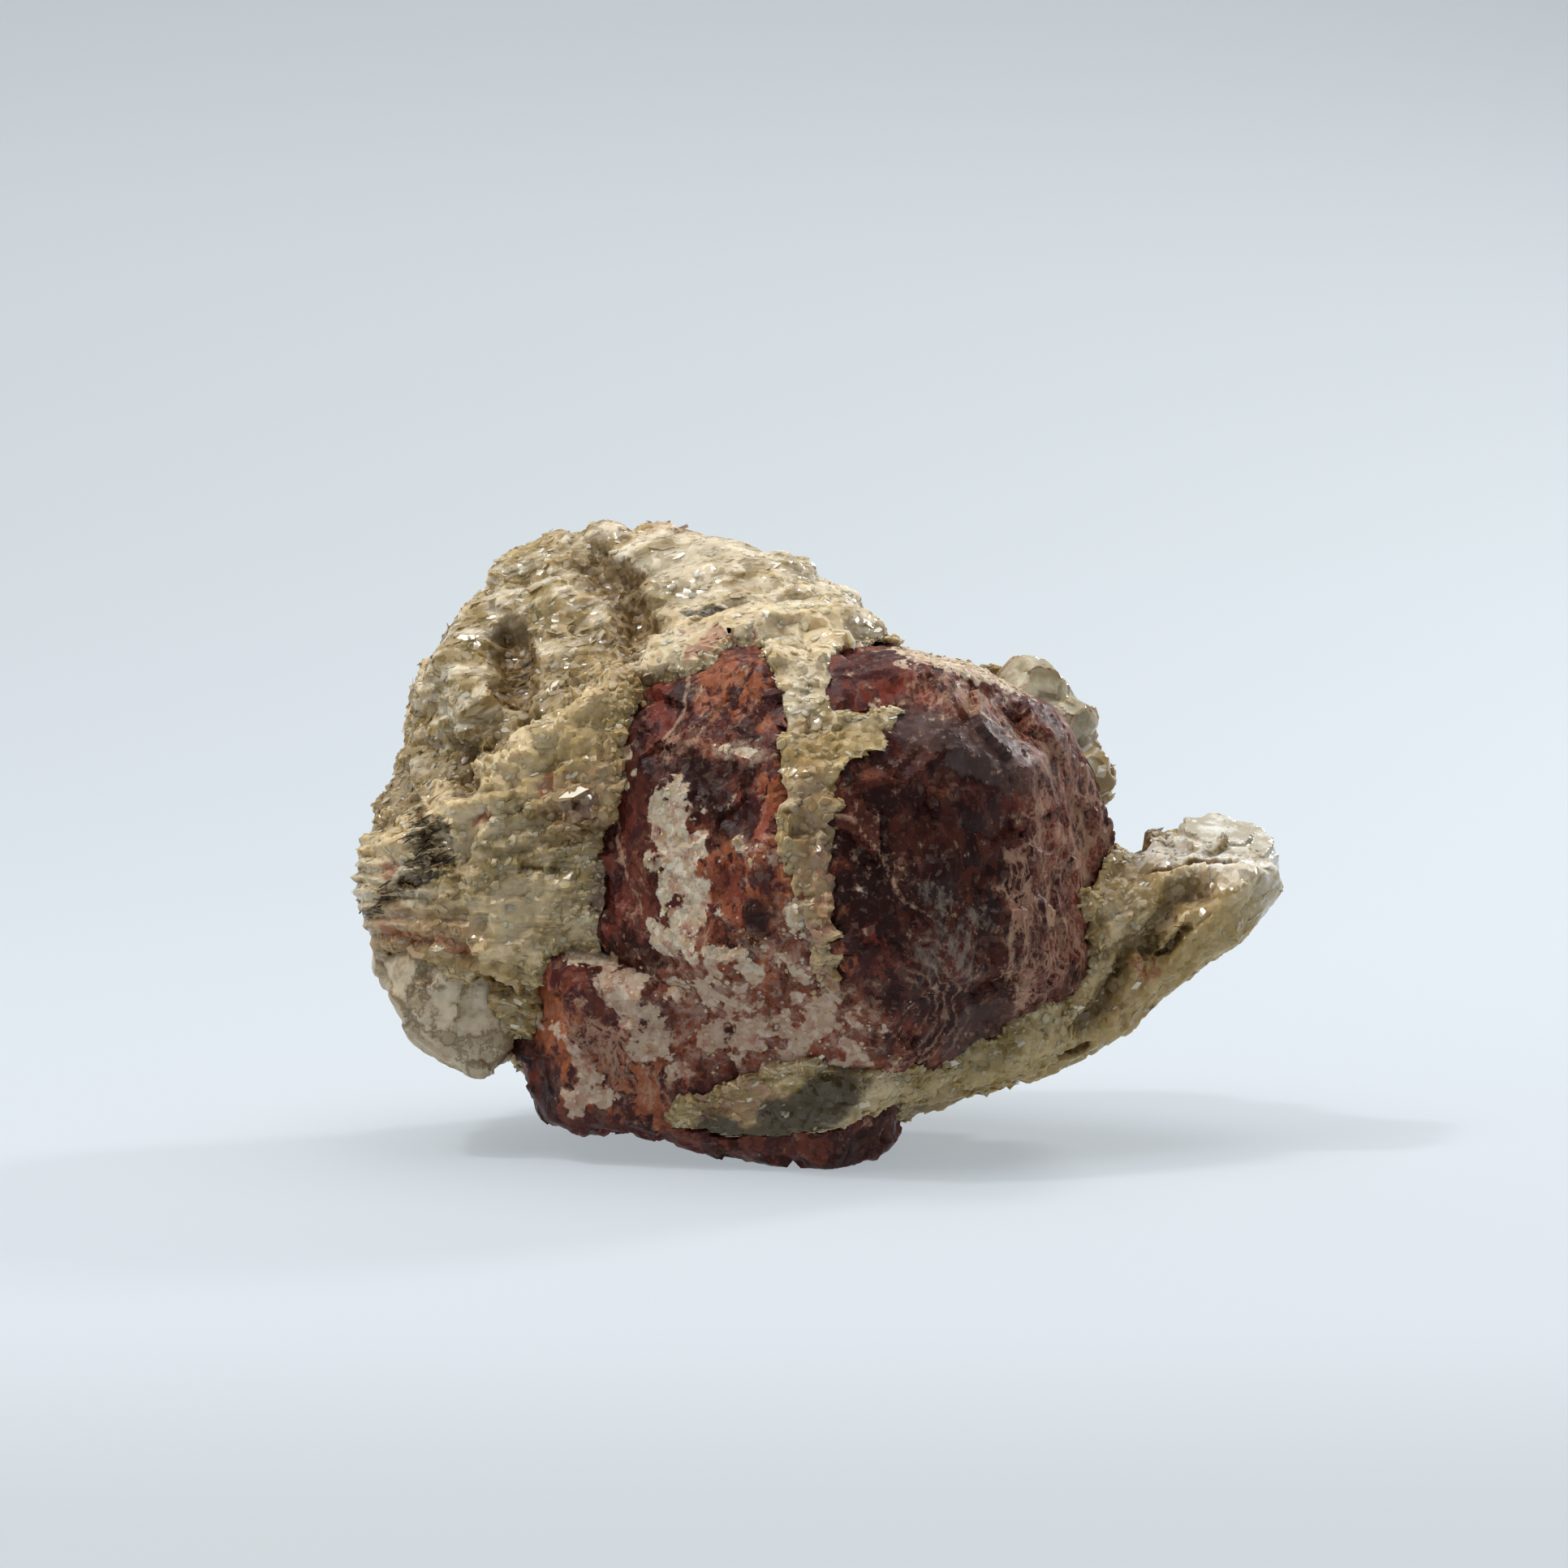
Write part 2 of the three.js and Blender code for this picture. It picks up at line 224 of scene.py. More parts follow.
def stone_from(node, name, grid, rounds):
    """A fine copy of a solid: squares of grid millimetres, smoothed for a number of rounds."""
    piece = bpy.data.objects.new(name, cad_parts[node].data.copy())
    bpy.context.scene.collection.objects.link(piece)
    select_only(piece)
    bpy.ops.object.mode_set(mode="EDIT")
    bpy.ops.mesh.select_all(action="SELECT")
    bpy.ops.mesh.remove_doubles(threshold=SAME_POINT)
    bpy.ops.object.mode_set(mode="OBJECT")
    remesh = piece.modifiers.new("even skin", "REMESH")
    remesh.mode = "VOXEL"
    remesh.voxel_size = grid * MM
    bpy.ops.object.modifier_apply(modifier=remesh.name)
    smooth = piece.modifiers.new("wear", "SMOOTH")
    smooth.factor = 0.5
    smooth.iterations = rounds
    bpy.ops.object.modifier_apply(modifier=smooth.name)
    piece.data.materials.clear()
    print(name, "has", triangles(piece), "triangles")
    return piece


# %% [markdown]
# ## Relief
#
# The broken surface of a rock is a patchwork of small planes, each tilted its own way. A Voronoi
# pattern gives the patches: inside each one, the height is a slope in a direction that is random
# for that patch. The geometry nodes below move every point of the skin along its normal by such
# heights, at a few sizes.

# %% A relief's node tree


def new_relief(name):
    """An empty geometry node tree with a way in and out."""
    tree = bpy.data.node_groups.new(name, "GeometryNodeTree")
    tree.interface.new_socket("Geometry", in_out="INPUT", socket_type="NodeSocketGeometry")
    tree.interface.new_socket("Geometry", in_out="OUTPUT", socket_type="NodeSocketGeometry")
    graph = Graph(tree)
    start = graph.add("NodeGroupInput")
    place = graph.add("GeometryNodeInputPosition") * (1 / MM)
    return graph, start, place


def finish_relief(graph, geometry, piece):
    """Joins the last geometry to the way out, and applies the tree to a piece."""
    end = graph.tree.nodes.new("NodeGroupOutput")
    graph.tree.links.new(geometry.socket, end.inputs[0])
    select_only(piece)
    modifier = piece.modifiers.new(graph.tree.name, "NODES")
    modifier.node_group = graph.tree
    bpy.ops.object.modifier_apply(modifier=modifier.name)


# %% Tilted planes, and the move along the normal
GROUND = (-1.0, -1.0, 0.0)  # the least x, y and z that a point may have: only z counts


def facets(graph, place, size, slope):
    """The height of tilted planes about size wide, in millimetres."""
    middle = graph.cells(place, size, "Position")
    tilt = graph.cells(place, size, "Color") - 0.5
    return (place - middle).along(tilt) * (2 * slope)


def lift(graph, geometry, height):
    """Moves the skin along its normal by a height in millimetres, but never below the ground."""
    normal = graph.add("GeometryNodeInputNormal")
    position = graph.add("GeometryNodeInputPosition")
    moved = (position + normal * (height * MM)).at_least(GROUND)
    return graph.add("GeometryNodeSetPosition", {}, {"Geometry": geometry, "Position": moved})


# %% Numbers that are kept on the skin


def keep(graph, geometry, name, value):
    """Stores a number on every point of the skin, for the material to read."""
    settings = {"data_type": "FLOAT", "domain": "POINT"}
    inputs = {"Geometry": geometry, "Name": name, "Value": value}
    return graph.add("GeometryNodeStoreNamedAttribute", settings, inputs)


def stored(graph, name):
    """A number that was painted or stored on the skin."""
    return graph.add("GeometryNodeInputNamedAttribute", {"data_type": "FLOAT"}, {"Name": name})


# %% [markdown]
# ## Marks
#
# A real stone isn't the same all over: here is a white patch, there a rusty edge or a dark pocket.
# Noise alone can't put them where they belong, so marks are drawn as lines with a half-width.
# Each point of the skin gets a number that is 1 on a line and falls to 0 away from it, and stays
# 0 at the back. The relief and the materials then fray the edge of each mark with noise.

# %% The places of a mesh's points


def points_of(piece):
    """The places of a mesh's points, in millimetres."""
    flat = np.empty(len(piece.data.vertices) * 3, np.float32)
    piece.data.vertices.foreach_get("co", flat)
    return flat.reshape(-1, 3) / MM


def print_span(piece):
    """Prints from where to where a piece goes, in millimetres."""
    at = points_of(piece)
    print(piece.name, "goes from", at.min(0).round(1).tolist(), "to", at.max(0).round(1).tolist())


# %% Painting marks on a skin
WANDER_SIZE = 1.6
EDGE_OF_FRONT = 2.0
noise.seed_set(2)  # or the clock would choose how the marks wander, and every run would differ


def wandering(at, size, reach):
    """A soft random shift for every point, in waves of a size that shift it by up to reach."""
    return np.array([noise.turbulence_vector(Vector(p / size), 3, False) for p in at]) * reach


def nearness(front, half_width, start, end):
    """1 on the line from start to end, falling to 0 at twice the half-width away from it."""
    run = end - start
    share = np.clip((front - start) @ run / max(run @ run, 1e-9), 0, 1)
    gap = front - start - share[:, None] * run
    return 1 - np.hypot(*gap.T) / (2 * half_width)


def paint_all(piece, all_marks, reach=0.6, depth=3.0):
    """Stores how close each point is to the marks of each name: [half-width, (x, z), (x, z), ...].

    Reach is how far a mark wanders, and depth how far back it goes, both in millimetres."""
    at = points_of(piece)
    front = (at + wandering(at, WANDER_SIZE, reach))[:, [0, 2]]
    facing_front = np.clip((depth + EDGE_OF_FRONT - at[:, 1]) / EDGE_OF_FRONT, 0, 1)
    for name, marks in all_marks.items():
        level = np.zeros(len(at))
        for half_width, *line in marks:
            starts = np.array(line[:-1] if len(line) > 1 else line, float)
            ends = np.array(line[1:] if len(line) > 1 else line, float)
            for start, end in zip(starts, ends):
                level = np.maximum(level, nearness(front, half_width, start, end))
        attribute = piece.data.attributes.new(name, "FLOAT", "POINT")
        attribute.data.foreach_set("value", (level * facing_front).astype(np.float32))
    print(piece.name, "is marked with", ", ".join(all_marks))


# %% [markdown]
# ## The garnet
#
# Almandine this worn has lost its sharp edges, but its large faces still show. Fine cracks cut it
# into blocks, and it is chipped all over. On the left and along the foot it is crusted with
# granular quartz that stands a little proud, so the marks are painted first, and the relief then
# reads them. Both stones are copied here, because the garnet's relief also closes the joint between
# the two.

# %% The two skins
garnet = stone_from("garnet_crystal", "garnet", grid=0.24, rounds=3)
schist = stone_from("schist_matrix", "schist", grid=0.28, rounds=1)

# %% Where quartz crusts the garnet
GARNET_MARKS = {}
GARNET_MARKS["crust"] = [
    [1.05, (-7.8, 19.0), (-7.3, 17.0), (-7.2, 14.0), (-7.5, 12.4)],
    [0.4, (-6.2, 16.6), (-6.4, 14.4)],
    [0.5, (-10.6, 22.4), (-10.1, 20.4)],
    [0.9, (-12.6, 11.2), (-10.2, 9.3), (-8.9, 7.4), (-8.2, 6.2)],
    [0.35, (-15.4, 8.4), (-13.8, 6.8), (-12.5, 5.6), (-11.4, 4.5)],
    [0.6, (-13.2, 3.2), (-11.4, 3.8)],
    [0.6, (0.4, 10.5), (0.1, 8.2), (-1.2, 6.4)],
    [0.35, (-1.6, 14.8), (-1.2, 12.4), (-1.0, 10.4)],
]
GARNET_MARKS["speckle"] = [
    [0.6, (-4.4, 17.2), (-2.0, 16.6)],
    [0.5, (-5.4, 22.0), (-3.4, 21.6)],
    [0.5, (-1.8, 15.0), (-1.6, 11.0)],
    [2.0, (-6.6, 9.8), (-4.0, 8.6), (-1.5, 7.6), (0.6, 7.6)],
    [1.6, (-6.2, 7.0), (-2.5, 6.4), (1.2, 6.2)],
    [1.3, (-5.6, 11.4), (-2.6, 11.0)],
]
TOP_RIM = [
    [0.5, (4.4, 26.6), (6.2, 26.2), (7.9, 25.6), (9.4, 25.3), (10.9, 24.7)],
]
print("quartz sits in", len(GARNET_MARKS["crust"] + GARNET_MARKS["speckle"] + TOP_RIM), "places")

# %% Where the garnet is rusty or red
GARNET_MARKS["rust"] = [
    [1.2, (-5.6, 25.2), (-4.2, 25.3), (-3.0, 24.9)],
    [0.6, (-5.6, 23.9), (-3.0, 23.8)],
    [0.5, (0.9, 20.8), (1.1, 16.5), (0.9, 14.0), (1.5, 11.3)],
    [0.5, (-2.7, 20.6), (-2.8, 18.0), (-2.2, 15.0)],
    # This line across the dark core is painted glints of orange light, not rust.
    [0.35, (2.0, 20.7), (4.0, 20.4), (6.0, 19.4)],
    [1.0, (-4.8, 15.8), (-3.4, 12.4), (-2.6, 10.8)],
    [1.7, (-16.4, 9.2), (-14.2, 7.4), (-12.4, 5.0), (-10.0, 3.6)],
    [1.2, (-10.5, 6.0), (-8.0, 4.2)],
    [0.9, (-5.6, 17.5), (-4.9, 12.6)],
]
GARNET_MARKS["red"] = [
    [0.7, (-3.4, 19.8), (-3.0, 18.7)],
    [0.3, (1.7, 23.9), (1.5, 26.4)],
    [0.7, (1.6, 5.0), (4.2, 4.6)],
    [1.0, (14.4, 15.0), (13.8, 11.6)],
    [0.6, (12.6, 20.4), (13.2, 18.4)],
    [0.6, (11.6, 18.6), (12.2, 15.6)],
    [0.8, (-10.4, 18.6), (-11.6, 15.6), (-11.0, 12.6)],
    [0.8, (-8.8, 25.2), (-8.0, 22.8)],
    [0.7, (2.4, 24.8), (5.2, 24.6)],
    [0.7, (-17.4, 7.4), (-15.6, 4.4)],
    [0.5, (2.4, 13.0), (2.6, 11.6)],
    [0.6, (-5.0, 15.6), (-4.4, 13.4)],
]
print("rust and red have", [len(GARNET_MARKS[name]) for name in ("rust", "red")], "marks")

# %% Where it is nearly black
GARNET_MARKS["dark"] = [
    [2.4, (2.8, 18.2), (5.2, 16.6), (7.4, 16.6)],
    [2.2, (2.8, 14.4), (4.6, 13.2)],
    [1.1, (8.2, 13.6), (8.7, 11.2), (8.2, 8.8)],
    [1.3, (5.4, 22.4), (8.6, 21.0)],
    [1.2, (-8.5, 25.8), (-8.0, 24.0)],
    [0.7, (-9.6, 23.4), (-9.4, 21.6)],
    [0.8, (-9.7, 21.2), (-8.9, 20.2)],
    [1.0, (-6.3, 20.6), (-5.2, 18.6)],
    [0.5, (-3.9, 22.6), (-4.0, 20.6)],
    [0.6, (-3.8, 13.8), (-3.2, 12.8)],
    [0.8, (-9.9, 19.4), (-11.8, 18.2), (-12.4, 15.8), (-11.4, 13.4), (-10.0, 11.6), (-9.1, 10.0)],
    [0.7, (-17.3, 9.2), (-16.0, 8.2)],
    [1.0, (-16.6, 6.6), (-14.8, 4.4)],
    [1.3, (5.0, 9.6), (6.4, 8.0)],
    [0.5, (12.2, 18.0), (12.0, 16.4)],
    [0.4, (11.4, 14.4), (11.2, 12.6)],
    [0.5, (13.0, 9.9), (12.0, 9.0)],
]
print("it is nearly black in", len(GARNET_MARKS["dark"]), "places")

# %% Where its faces are pale, cracked or frosted
GARNET_MARKS["pale"] = [
    [2.4, (12.8, 19.4), (13.8, 15.4), (13.2, 11.6), (11.2, 10.2)],
    [1.2, (10.8, 16.6), (10.2, 12.6)],
    [0.8, (5.4, 24.6), (7.6, 24.1)],
    [1.0, (-9.2, 4.2), (-12.6, 7.8)],
]
GARNET_MARKS["cracked"] = [
    [1.6, (11.4, 19.6), (12.4, 15.0), (11.6, 10.6)],
    [0.9, (9.8, 16.4), (9.8, 9.0)],
    [1.0, (5.4, 13.8), (7.4, 13.2), (6.6, 11.0)],
    [1.5, (3.0, 8.6), (4.8, 7.2)],
    [1.0, (8.0, 24.2), (11.4, 21.6)],
    [1.2, (-6.0, 22.4), (-3.4, 21.4)],
    [1.0, (-9.6, 14.0), (-10.8, 11.8)],
    [1.2, (-8.6, 24.6), (-7.4, 21.8)],
    [1.0, (1.4, 18.8), (4.4, 14.4)],
]
GARNET_MARKS["frost"] = [
    [0.7, (5.6, 14.6), (6.6, 13.2), (7.6, 13.0)],
    [0.8, (6.0, 13.0), (6.4, 11.6), (7.2, 11.2)],
    [0.4, (4.7, 11.6), (5.8, 10.8)],
]
GARNET_MARKS["arcs"] = [
    [1.1, (5.2, 11.4), (6.4, 9.4), (6.2, 7.6), (4.6, 6.0)],
]
print("the garnet has marks for", ", ".join(GARNET_MARKS))

# %% Where its edges are sharp: seams, grey faces and the vein of schist
SEAMS = [
    [0.6, (-6.9, 26.2), (-7.1, 24.2), (-8.0, 22.2)],
    [0.6, (2.8, 23.4), (4.5, 24.3), (4.8, 25.8)],
    [0.6, (7.3, 24.2), (7.6, 23.6), (9.7, 22.5), (11.0, 21.8), (11.3, 20.8), (12.0, 18.8)],
    [0.6, (1.3, 18.7), (2.9, 16.4), (4.0, 14.2), (5.2, 13.6)],
    [0.6, (9.6, 16.0), (9.3, 12.0), (9.8, 8.4)],
    [0.6, (-10.9, 19.0), (-10.2, 16.0), (-9.2, 13.4)],
]
# The grey faces are a painted reflection: a grey sheen where a flat face would mirror the pale
# room.
SHEEN_FACES = [
    [0.9, (6.9, 6.2), (7.9, 7.4), (9.1, 8.1)],
    [1.0, (4.2, 23.4), (5.6, 22.8)],
    [1.3, (7.6, 22.0), (8.8, 21.4), (10.2, 20.6)],
]
VEIN = [
    [1.3, (-0.8, 27.4), (-1.0, 22.5), (-0.6, 17.0), (-0.2, 13.4), (0.1, 10.0)],
    [0.9, (0.5, 21.8), (3.6, 22.2)],
]
paint_all(garnet, GARNET_MARKS)
paint_all(garnet, {"rim": TOP_RIM}, depth=14.0)
paint_all(garnet, {"seams": SEAMS, "grey": SHEEN_FACES, "vein": VEIN}, reach=0.2)

# %% [markdown]
# Where two stones meet, each is let grow a little into the other, so that no gap shows. The growth
# follows the distance to the other stone, which a Geometry Proximity node measures. Only side walls
# grow: the faces that look away from the garnet's middle keep their place, or the outline would
# swell.

# %% Closing the joint between two stones


def joint_with(graph, other):
    """1 where the skin touches another stone, falling to 0 a millimetre away."""
    skin = graph.add("GeometryNodeObjectInfo", {}, {"Object": other}, "Geometry")
    settings = {"target_element": "FACES"}
    gap = graph.add("GeometryNodeProximity", settings, {"Target": skin}, "Distance")
    return 1 - (gap * (1 / MM)).step(0.2, 1.0)


def outwards(graph, place):
    """How much the skin looks away from the garnet's middle: 1 is straight out, -1 straight in."""
    normal = graph.add("GeometryNodeInputNormal")
    return normal.along((place - GARNET_MIDDLE).unit())


def side_walls(graph, place):
    """1 where the skin looks sideways, as on the sides of a vein, and 0 where it looks outwards."""
    return 1 - outwards(graph, place).step(0.2, 0.9)


# %% [markdown]
# The garnet's height is a sum. Chips of two sizes and low swells wear the bare faces, blocks stand
# for the pieces between its cracks, and the crust adds its own grains. Every size and height is in
# millimetres.

# %% Where the garnet is covered
graph, skin, place = new_relief("garnet relief")
frayed = graph.noise(place, 1.1, detail=4) - 0.5
crusted = (stored(graph, "crust") + frayed * 1.4).step(0.2, 0.8)
speckled = (stored(graph, "speckle") + frayed * 2.6).step(0.6, 1.1)
covered = crusted.at_least(speckled).at_least(stored(graph, "rim").step(0.1, 0.5))
print("the cover takes", len(graph.tree.nodes), "nodes")

# %% Wearing and chipping the garnet
chips = facets(graph, place, 3.2, 0.15)
small_chips = facets(graph, place, 1.1, 0.07)
swells = (graph.noise(place, 6, detail=2) - 0.5) * 1.6
sway = graph.noise(place, 3.0, detail=2, output="Color") * 2.0
blocks = graph.cells((place + sway) * (1.0, 1.0, 0.4), 1.4, "Color").part("X") - 0.5
grains = facets(graph, place, 0.6, 0.4)
bare = chips + small_chips + swells + blocks * 0.2
height = 0.15 + bare * (1 - covered * 0.6) + covered * (0.05 + grains * 0.5)
into_vein = stored(graph, "vein").step(0.0, 0.4) * 0.5
height = height + joint_with(graph, schist) * side_walls(graph, place) * (0.25 + into_vein * 1.4)
moved = lift(graph, skin, height)
moved = keep(graph, moved, "covered", covered)
finish_relief(graph, moved, garnet)
print_span(garnet)

# %% [markdown]
# ## The schist
#
# Mica schist is a pile of mica flakes and quartz grains that was squeezed until the flakes lay
# flat. Here the layers arch over the garnet, which grew first, and dip under it towards the tail.
# Its colours and forms change from place to place more than any pattern would, so it has the most
# marks: pale mica with painted glints and highlights, golden and rusty stains, dark pockets with
# painted shade, and places where the rock is fuller or leaner than its solid.

# %% Where the schist is pale
SCHIST_MARKS = {}
SCHIST_MARKS["bright"] = [
    [3.2, (-8.0, 32.0), (-4.0, 31.2), (0.4, 29.4), (4.0, 27.4)],
    [0.6, (-9.3, 26.2), (-4.7, 27.9), (0.6, 27.6)],
    # This line at the tail's tip is partly the mica plate's silvery colour and partly a painted
    # highlight.
    [2.2, (19.8, 17.4), (22.4, 16.8), (24.4, 14.2)],
    [1.6, (-23.4, 14.6), (-22.6, 13.2)],
    # These three lines on the vein are painted glints: bright specks where its grains would catch
    # the light.
    [0.7, (-1.2, 25.4), (-1.3, 23.4)],
    [0.6, (-1.6, 20.8), (-1.5, 19.4)],
    [0.4, (-0.4, 18.2), (-0.2, 16.8)],
]
SCHIST_MARKS["white"] = [
    [1.6, (-18.2, 16.4), (-15.4, 15.8), (-13.8, 16.4)],
    [1.4, (-15.6, 12.4), (-13.4, 12.8)],
    [1.0, (-16.6, 14.4), (-17.6, 13.4)],
    [1.0, (15.7, 13.6), (15.8, 11.4), (15.2, 9.6)],
    [1.0, (10.0, 25.2), (12.4, 23.8)],
    [1.2, (3.4, 3.8), (-0.6, 2.8)],
]
# The tip's snowy white is partly its silvery mica and partly a painted highlight.
SCHIST_MARKS["snowy"] = [
    [1.1, (17.8, 16.3), (21.2, 15.8), (23.2, 14.8), (24.4, 13.0)],
    [0.8, (19.4, 17.2), (20.6, 17.8)],
]
SCHIST_MARKS["sugary"] = [
    [2.4, (-18.4, 17.6), (-15.0, 18.6), (-12.0, 22.0)],
    [2.4, (-18.6, 13.6), (-13.4, 13.0)],
    [2.0, (-21.8, 17.0), (-20.0, 15.4)],
    [1.2, (-20.9, 18.6), (-17.4, 20.8), (-13.1, 23.6), (-9.3, 26.4)],
    [1.5, (-0.8, 27.4), (-1.0, 22.5), (-0.6, 17.0), (-0.2, 13.4), (0.1, 10.0)],
    [1.4, (2.6, 3.2), (7.0, 4.6), (11.0, 6.8), (14.4, 9.4), (15.4, 12.0)],
]
SCHIST_MARKS["silvery"] = [
    # The silvery marks are partly the mica's own silver and partly painted glints.
    [3.0, (-20.5, 21.0), (-18.0, 26.5), (-14.0, 31.0)],
    [1.2, (-11.5, 31.8), (-12.5, 32.4)],
]
print("the schist has pale marks for", ", ".join(SCHIST_MARKS))

# %% Where it is golden, olive or tan
SCHIST_MARKS["golden"] = [
    [2.2, (9.0, 3.2), (13.6, 5.6), (18.6, 9.6), (22.6, 13.0)],
    [1.2, (15.2, 14.6), (19.0, 14.8)],
    [1.2, (-13.0, 21.4), (-11.4, 22.8), (-9.4, 24.0)],
    [1.0, (-1.4, 21.6), (3.4, 22.4)],
    [1.0, (2.0, 2.6), (5.0, 3.4)],
]
SCHIST_MARKS["olive"] = [
    [1.2, (6.0, 3.6), (9.0, 4.6), (12.6, 6.2)],
    # This line along the valley above the ridge is painted shade, in an olive tone.
    [0.8, (-22.8, 18.8), (-18.6, 21.6), (-14.6, 24.4), (-10.6, 27.8)],
    [1.6, (6.5, 4.6), (12.0, 7.0), (16.0, 9.0)],
    [1.0, (1.6, 22.2), (3.6, 22.9)],
    [1.3, (-13.0, 21.4), (-11.4, 22.8)],
]
SCHIST_MARKS["tan"] = [
    [1.6, (-12.8, 19.0), (-11.4, 21.5), (-9.8, 23.8)],
    [1.1, (-0.9, 22.0), (-0.6, 17.0), (-0.2, 13.4)],
    [1.2, (-22.4, 12.4), (-19.0, 12.0)],
    [0.8, (-4.8, 3.2), (-2.8, 3.9)],
    [0.8, (-10.4, 30.2), (-9.8, 28.6)],
    [0.8, (15.4, 7.4), (17.6, 9.2)],
]
print("golden, olive and tan take the schist to", len(SCHIST_MARKS), "kinds of mark")

# %% Where it is rusty, rosy, maroon or smoky
SCHIST_MARKS["stained"] = [
    [0.22, (-6.8, 26.7), (-5.3, 27.3)],
    [0.35, (-22.9, 15.2), (-22.8, 14.8)],
    [0.4, (17.2, 9.9), (17.5, 9.4)],
    [0.25, (-22.8, 11.9), (-20.6, 12.0), (-18.6, 11.6)],
    [0.25, (-18.3, 17.8), (-17.4, 18.4)],
    [0.22, (-14.6, 19.6), (-13.9, 20.2)],
    [0.2, (-3.4, 27.0), (-3.0, 25.6)],
]
SCHIST_MARKS["rosy"] = [
    [0.9, (-0.4, 17.0), (0.2, 9.6)],
    [0.6, (-3.0, 5.2), (-6.0, 3.4)],
]
SCHIST_MARKS["maroon"] = [
    [0.7, (-12.4, 18.8), (-12.2, 15.6), (-11.6, 13.0)],
]
SCHIST_MARKS["smoky"] = [
    [1.1, (20.6, 17.8), (22.6, 17.4), (23.8, 16.2)],
]
print("so far the schist has", sum(len(places) for places in SCHIST_MARKS.values()), "marks")

# %% Where it is dark
SCHIST_MARKS["hollow"] = [
    [0.9, (-12.3, 31.0), (-11.6, 30.2)],
    [0.9, (-10.9, 30.2), (-9.8, 28.6)],
    [0.9, (-10.0, 27.4), (-9.4, 28.0)],
    [1.0, (-16.6, 26.6), (-16.4, 25.2)],
    [0.7, (-19.2, 20.9), (-18.6, 19.8)],
    [0.5, (-17.6, 9.4), (-16.8, 8.8)],
]
SCHIST_MARKS["glassy"] = [
    [0.85, (-2.2, 2.9), (-0.7, 3.6), (0.8, 4.4)],
    [0.55, (-5.7, 2.2), (-2.9, 1.6)],
    [0.3, (-7.0, 28.2), (-4.6, 28.5)],
]
SCHIST_MARKS["biotite"] = [
    [0.9, (-20.5, 17.2), (-20.5, 15.8)],
    [0.22, (-20.9, 15.2), (-22.3, 14.0), (-23.5, 13.0)],
    [0.35, (-16.6, 26.4), (-16.3, 25.4)],
]
CREVICES = [
    [
        0.6, (13.7, 7.1), (14.8, 8.2), (15.8, 9.8), (16.2, 11.0), (17.6, 12.2), (18.6, 13.8),
        (20.0, 14.2),
    ],
    [0.25, (19.4, 12.3), (18.1, 10.7)],
    [0.2, (17.2, 15.0), (19.6, 15.4), (22.0, 15.2)],
    [0.2, (14.0, 5.8), (12.6, 5.4)],
]
print("the crevices of the tail are", len(CREVICES), "lines")

# %% Where the rock is fuller or leaner than its solid
SCHIST_MARKS["ridge"] = [
    [
        0.7, (-24.4, 15.9), (-20.9, 17.9), (-17.4, 20.1), (-13.1, 23.0), (-9.3, 26.2), (-4.7, 27.9),
        (0.6, 27.6),
    ],
]
SCHIST_MARKS["valley"] = [
    [0.9, (-22.9, 18.6), (-18.4, 21.4), (-14.4, 24.2), (-10.6, 27.4)],
]
SCHIST_MARKS["filled"] = [
    [2.2, (17.6, 10.6)],
    [1.8, (-20.3, 16.8)],
]
FULLER = [
    [2.4, (-16.4, 31.6), (-13.2, 32.6)],
    [1.6, (-0.8, 30.6), (1.2, 29.0)],
    [1.6, (-24.4, 13.4), (-23.8, 11.2)],
    [2.5, (-22.4, 26.0), (-20.4, 28.0)],
    [0.8, (18.4, 15.2), (21.4, 15.0), (23.4, 14.2)],
]
LEANER = [
    [1.6, (4.0, 26.9), (9.2, 25.6)],
    [1.5, (16.3, 16.4), (21.5, 17.4)],
    [1.8, (-25.2, 20.0), (-25.2, 16.2)],
    [1.0, (5.0, 1.4), (10.4, 2.6)],
]
paint_all(schist, SCHIST_MARKS)
paint_all(schist, {"vein": VEIN, "crevices": CREVICES}, reach=0.3)
paint_all(schist, {"fuller": FULLER, "leaner": LEANER}, depth=14.0)

# %% [markdown]
# The layers are bent, but a noise pattern is straight. So the pattern isn't bent: the place that it
# reads is. The height of each point is exchanged for its height through the layers, which rises
# over an arch on the left and sinks into a bowl on the right. Noise that is stretched there follows
# the layers here.

# %% Layers round the garnet
OVER_GARNET = (11.0, 18.0)
LEFT_OF_TAIL = (8.0, 12.0)
ARCH_TOP = -2.0
BOWL_FOOT = -5.0
ARCH_WIDTH = 90.0
BOWL_WIDTH = 60.0


def arch_and_bowl(place):
    """How far a point is from the arch's top and the bowl's foot, and 1 in the arch and 0 below."""
    x, z = place.part("X"), place.part("Z")
    over = z.step(*OVER_GARNET) * (1 - x.step(*LEFT_OF_TAIL))
    return x - ARCH_TOP, (x - BOWL_FOOT).at_least(0.0), over


def through_layers(graph, place):
    """A place whose height is measured through the layers instead of straight up."""
    arch, bowl, over = arch_and_bowl(place)
    bend = (graph.noise(place, 9, detail=2) - 0.5) * 5.0
    through = place.part("Z") + bend + arch * arch * over / ARCH_WIDTH
    through = through - bowl * bowl * (1 - over) / BOWL_WIDTH
    inputs = {0: place.part("X"), 1: place.part("Y"), 2: through}
    return graph.add("ShaderNodeCombineXYZ", {}, inputs)


def layers_face(graph, place):
    """The direction that the layers face: that in which the height through them grows."""
    arch, bowl, over = arch_and_bowl(place)
    tilt = arch * over / (ARCH_WIDTH / 2) - bowl * (1 - over) / (BOWL_WIDTH / 2)
    return graph.add("ShaderNodeCombineXYZ", {}, {0: tilt, 2: 1.0}).unit()


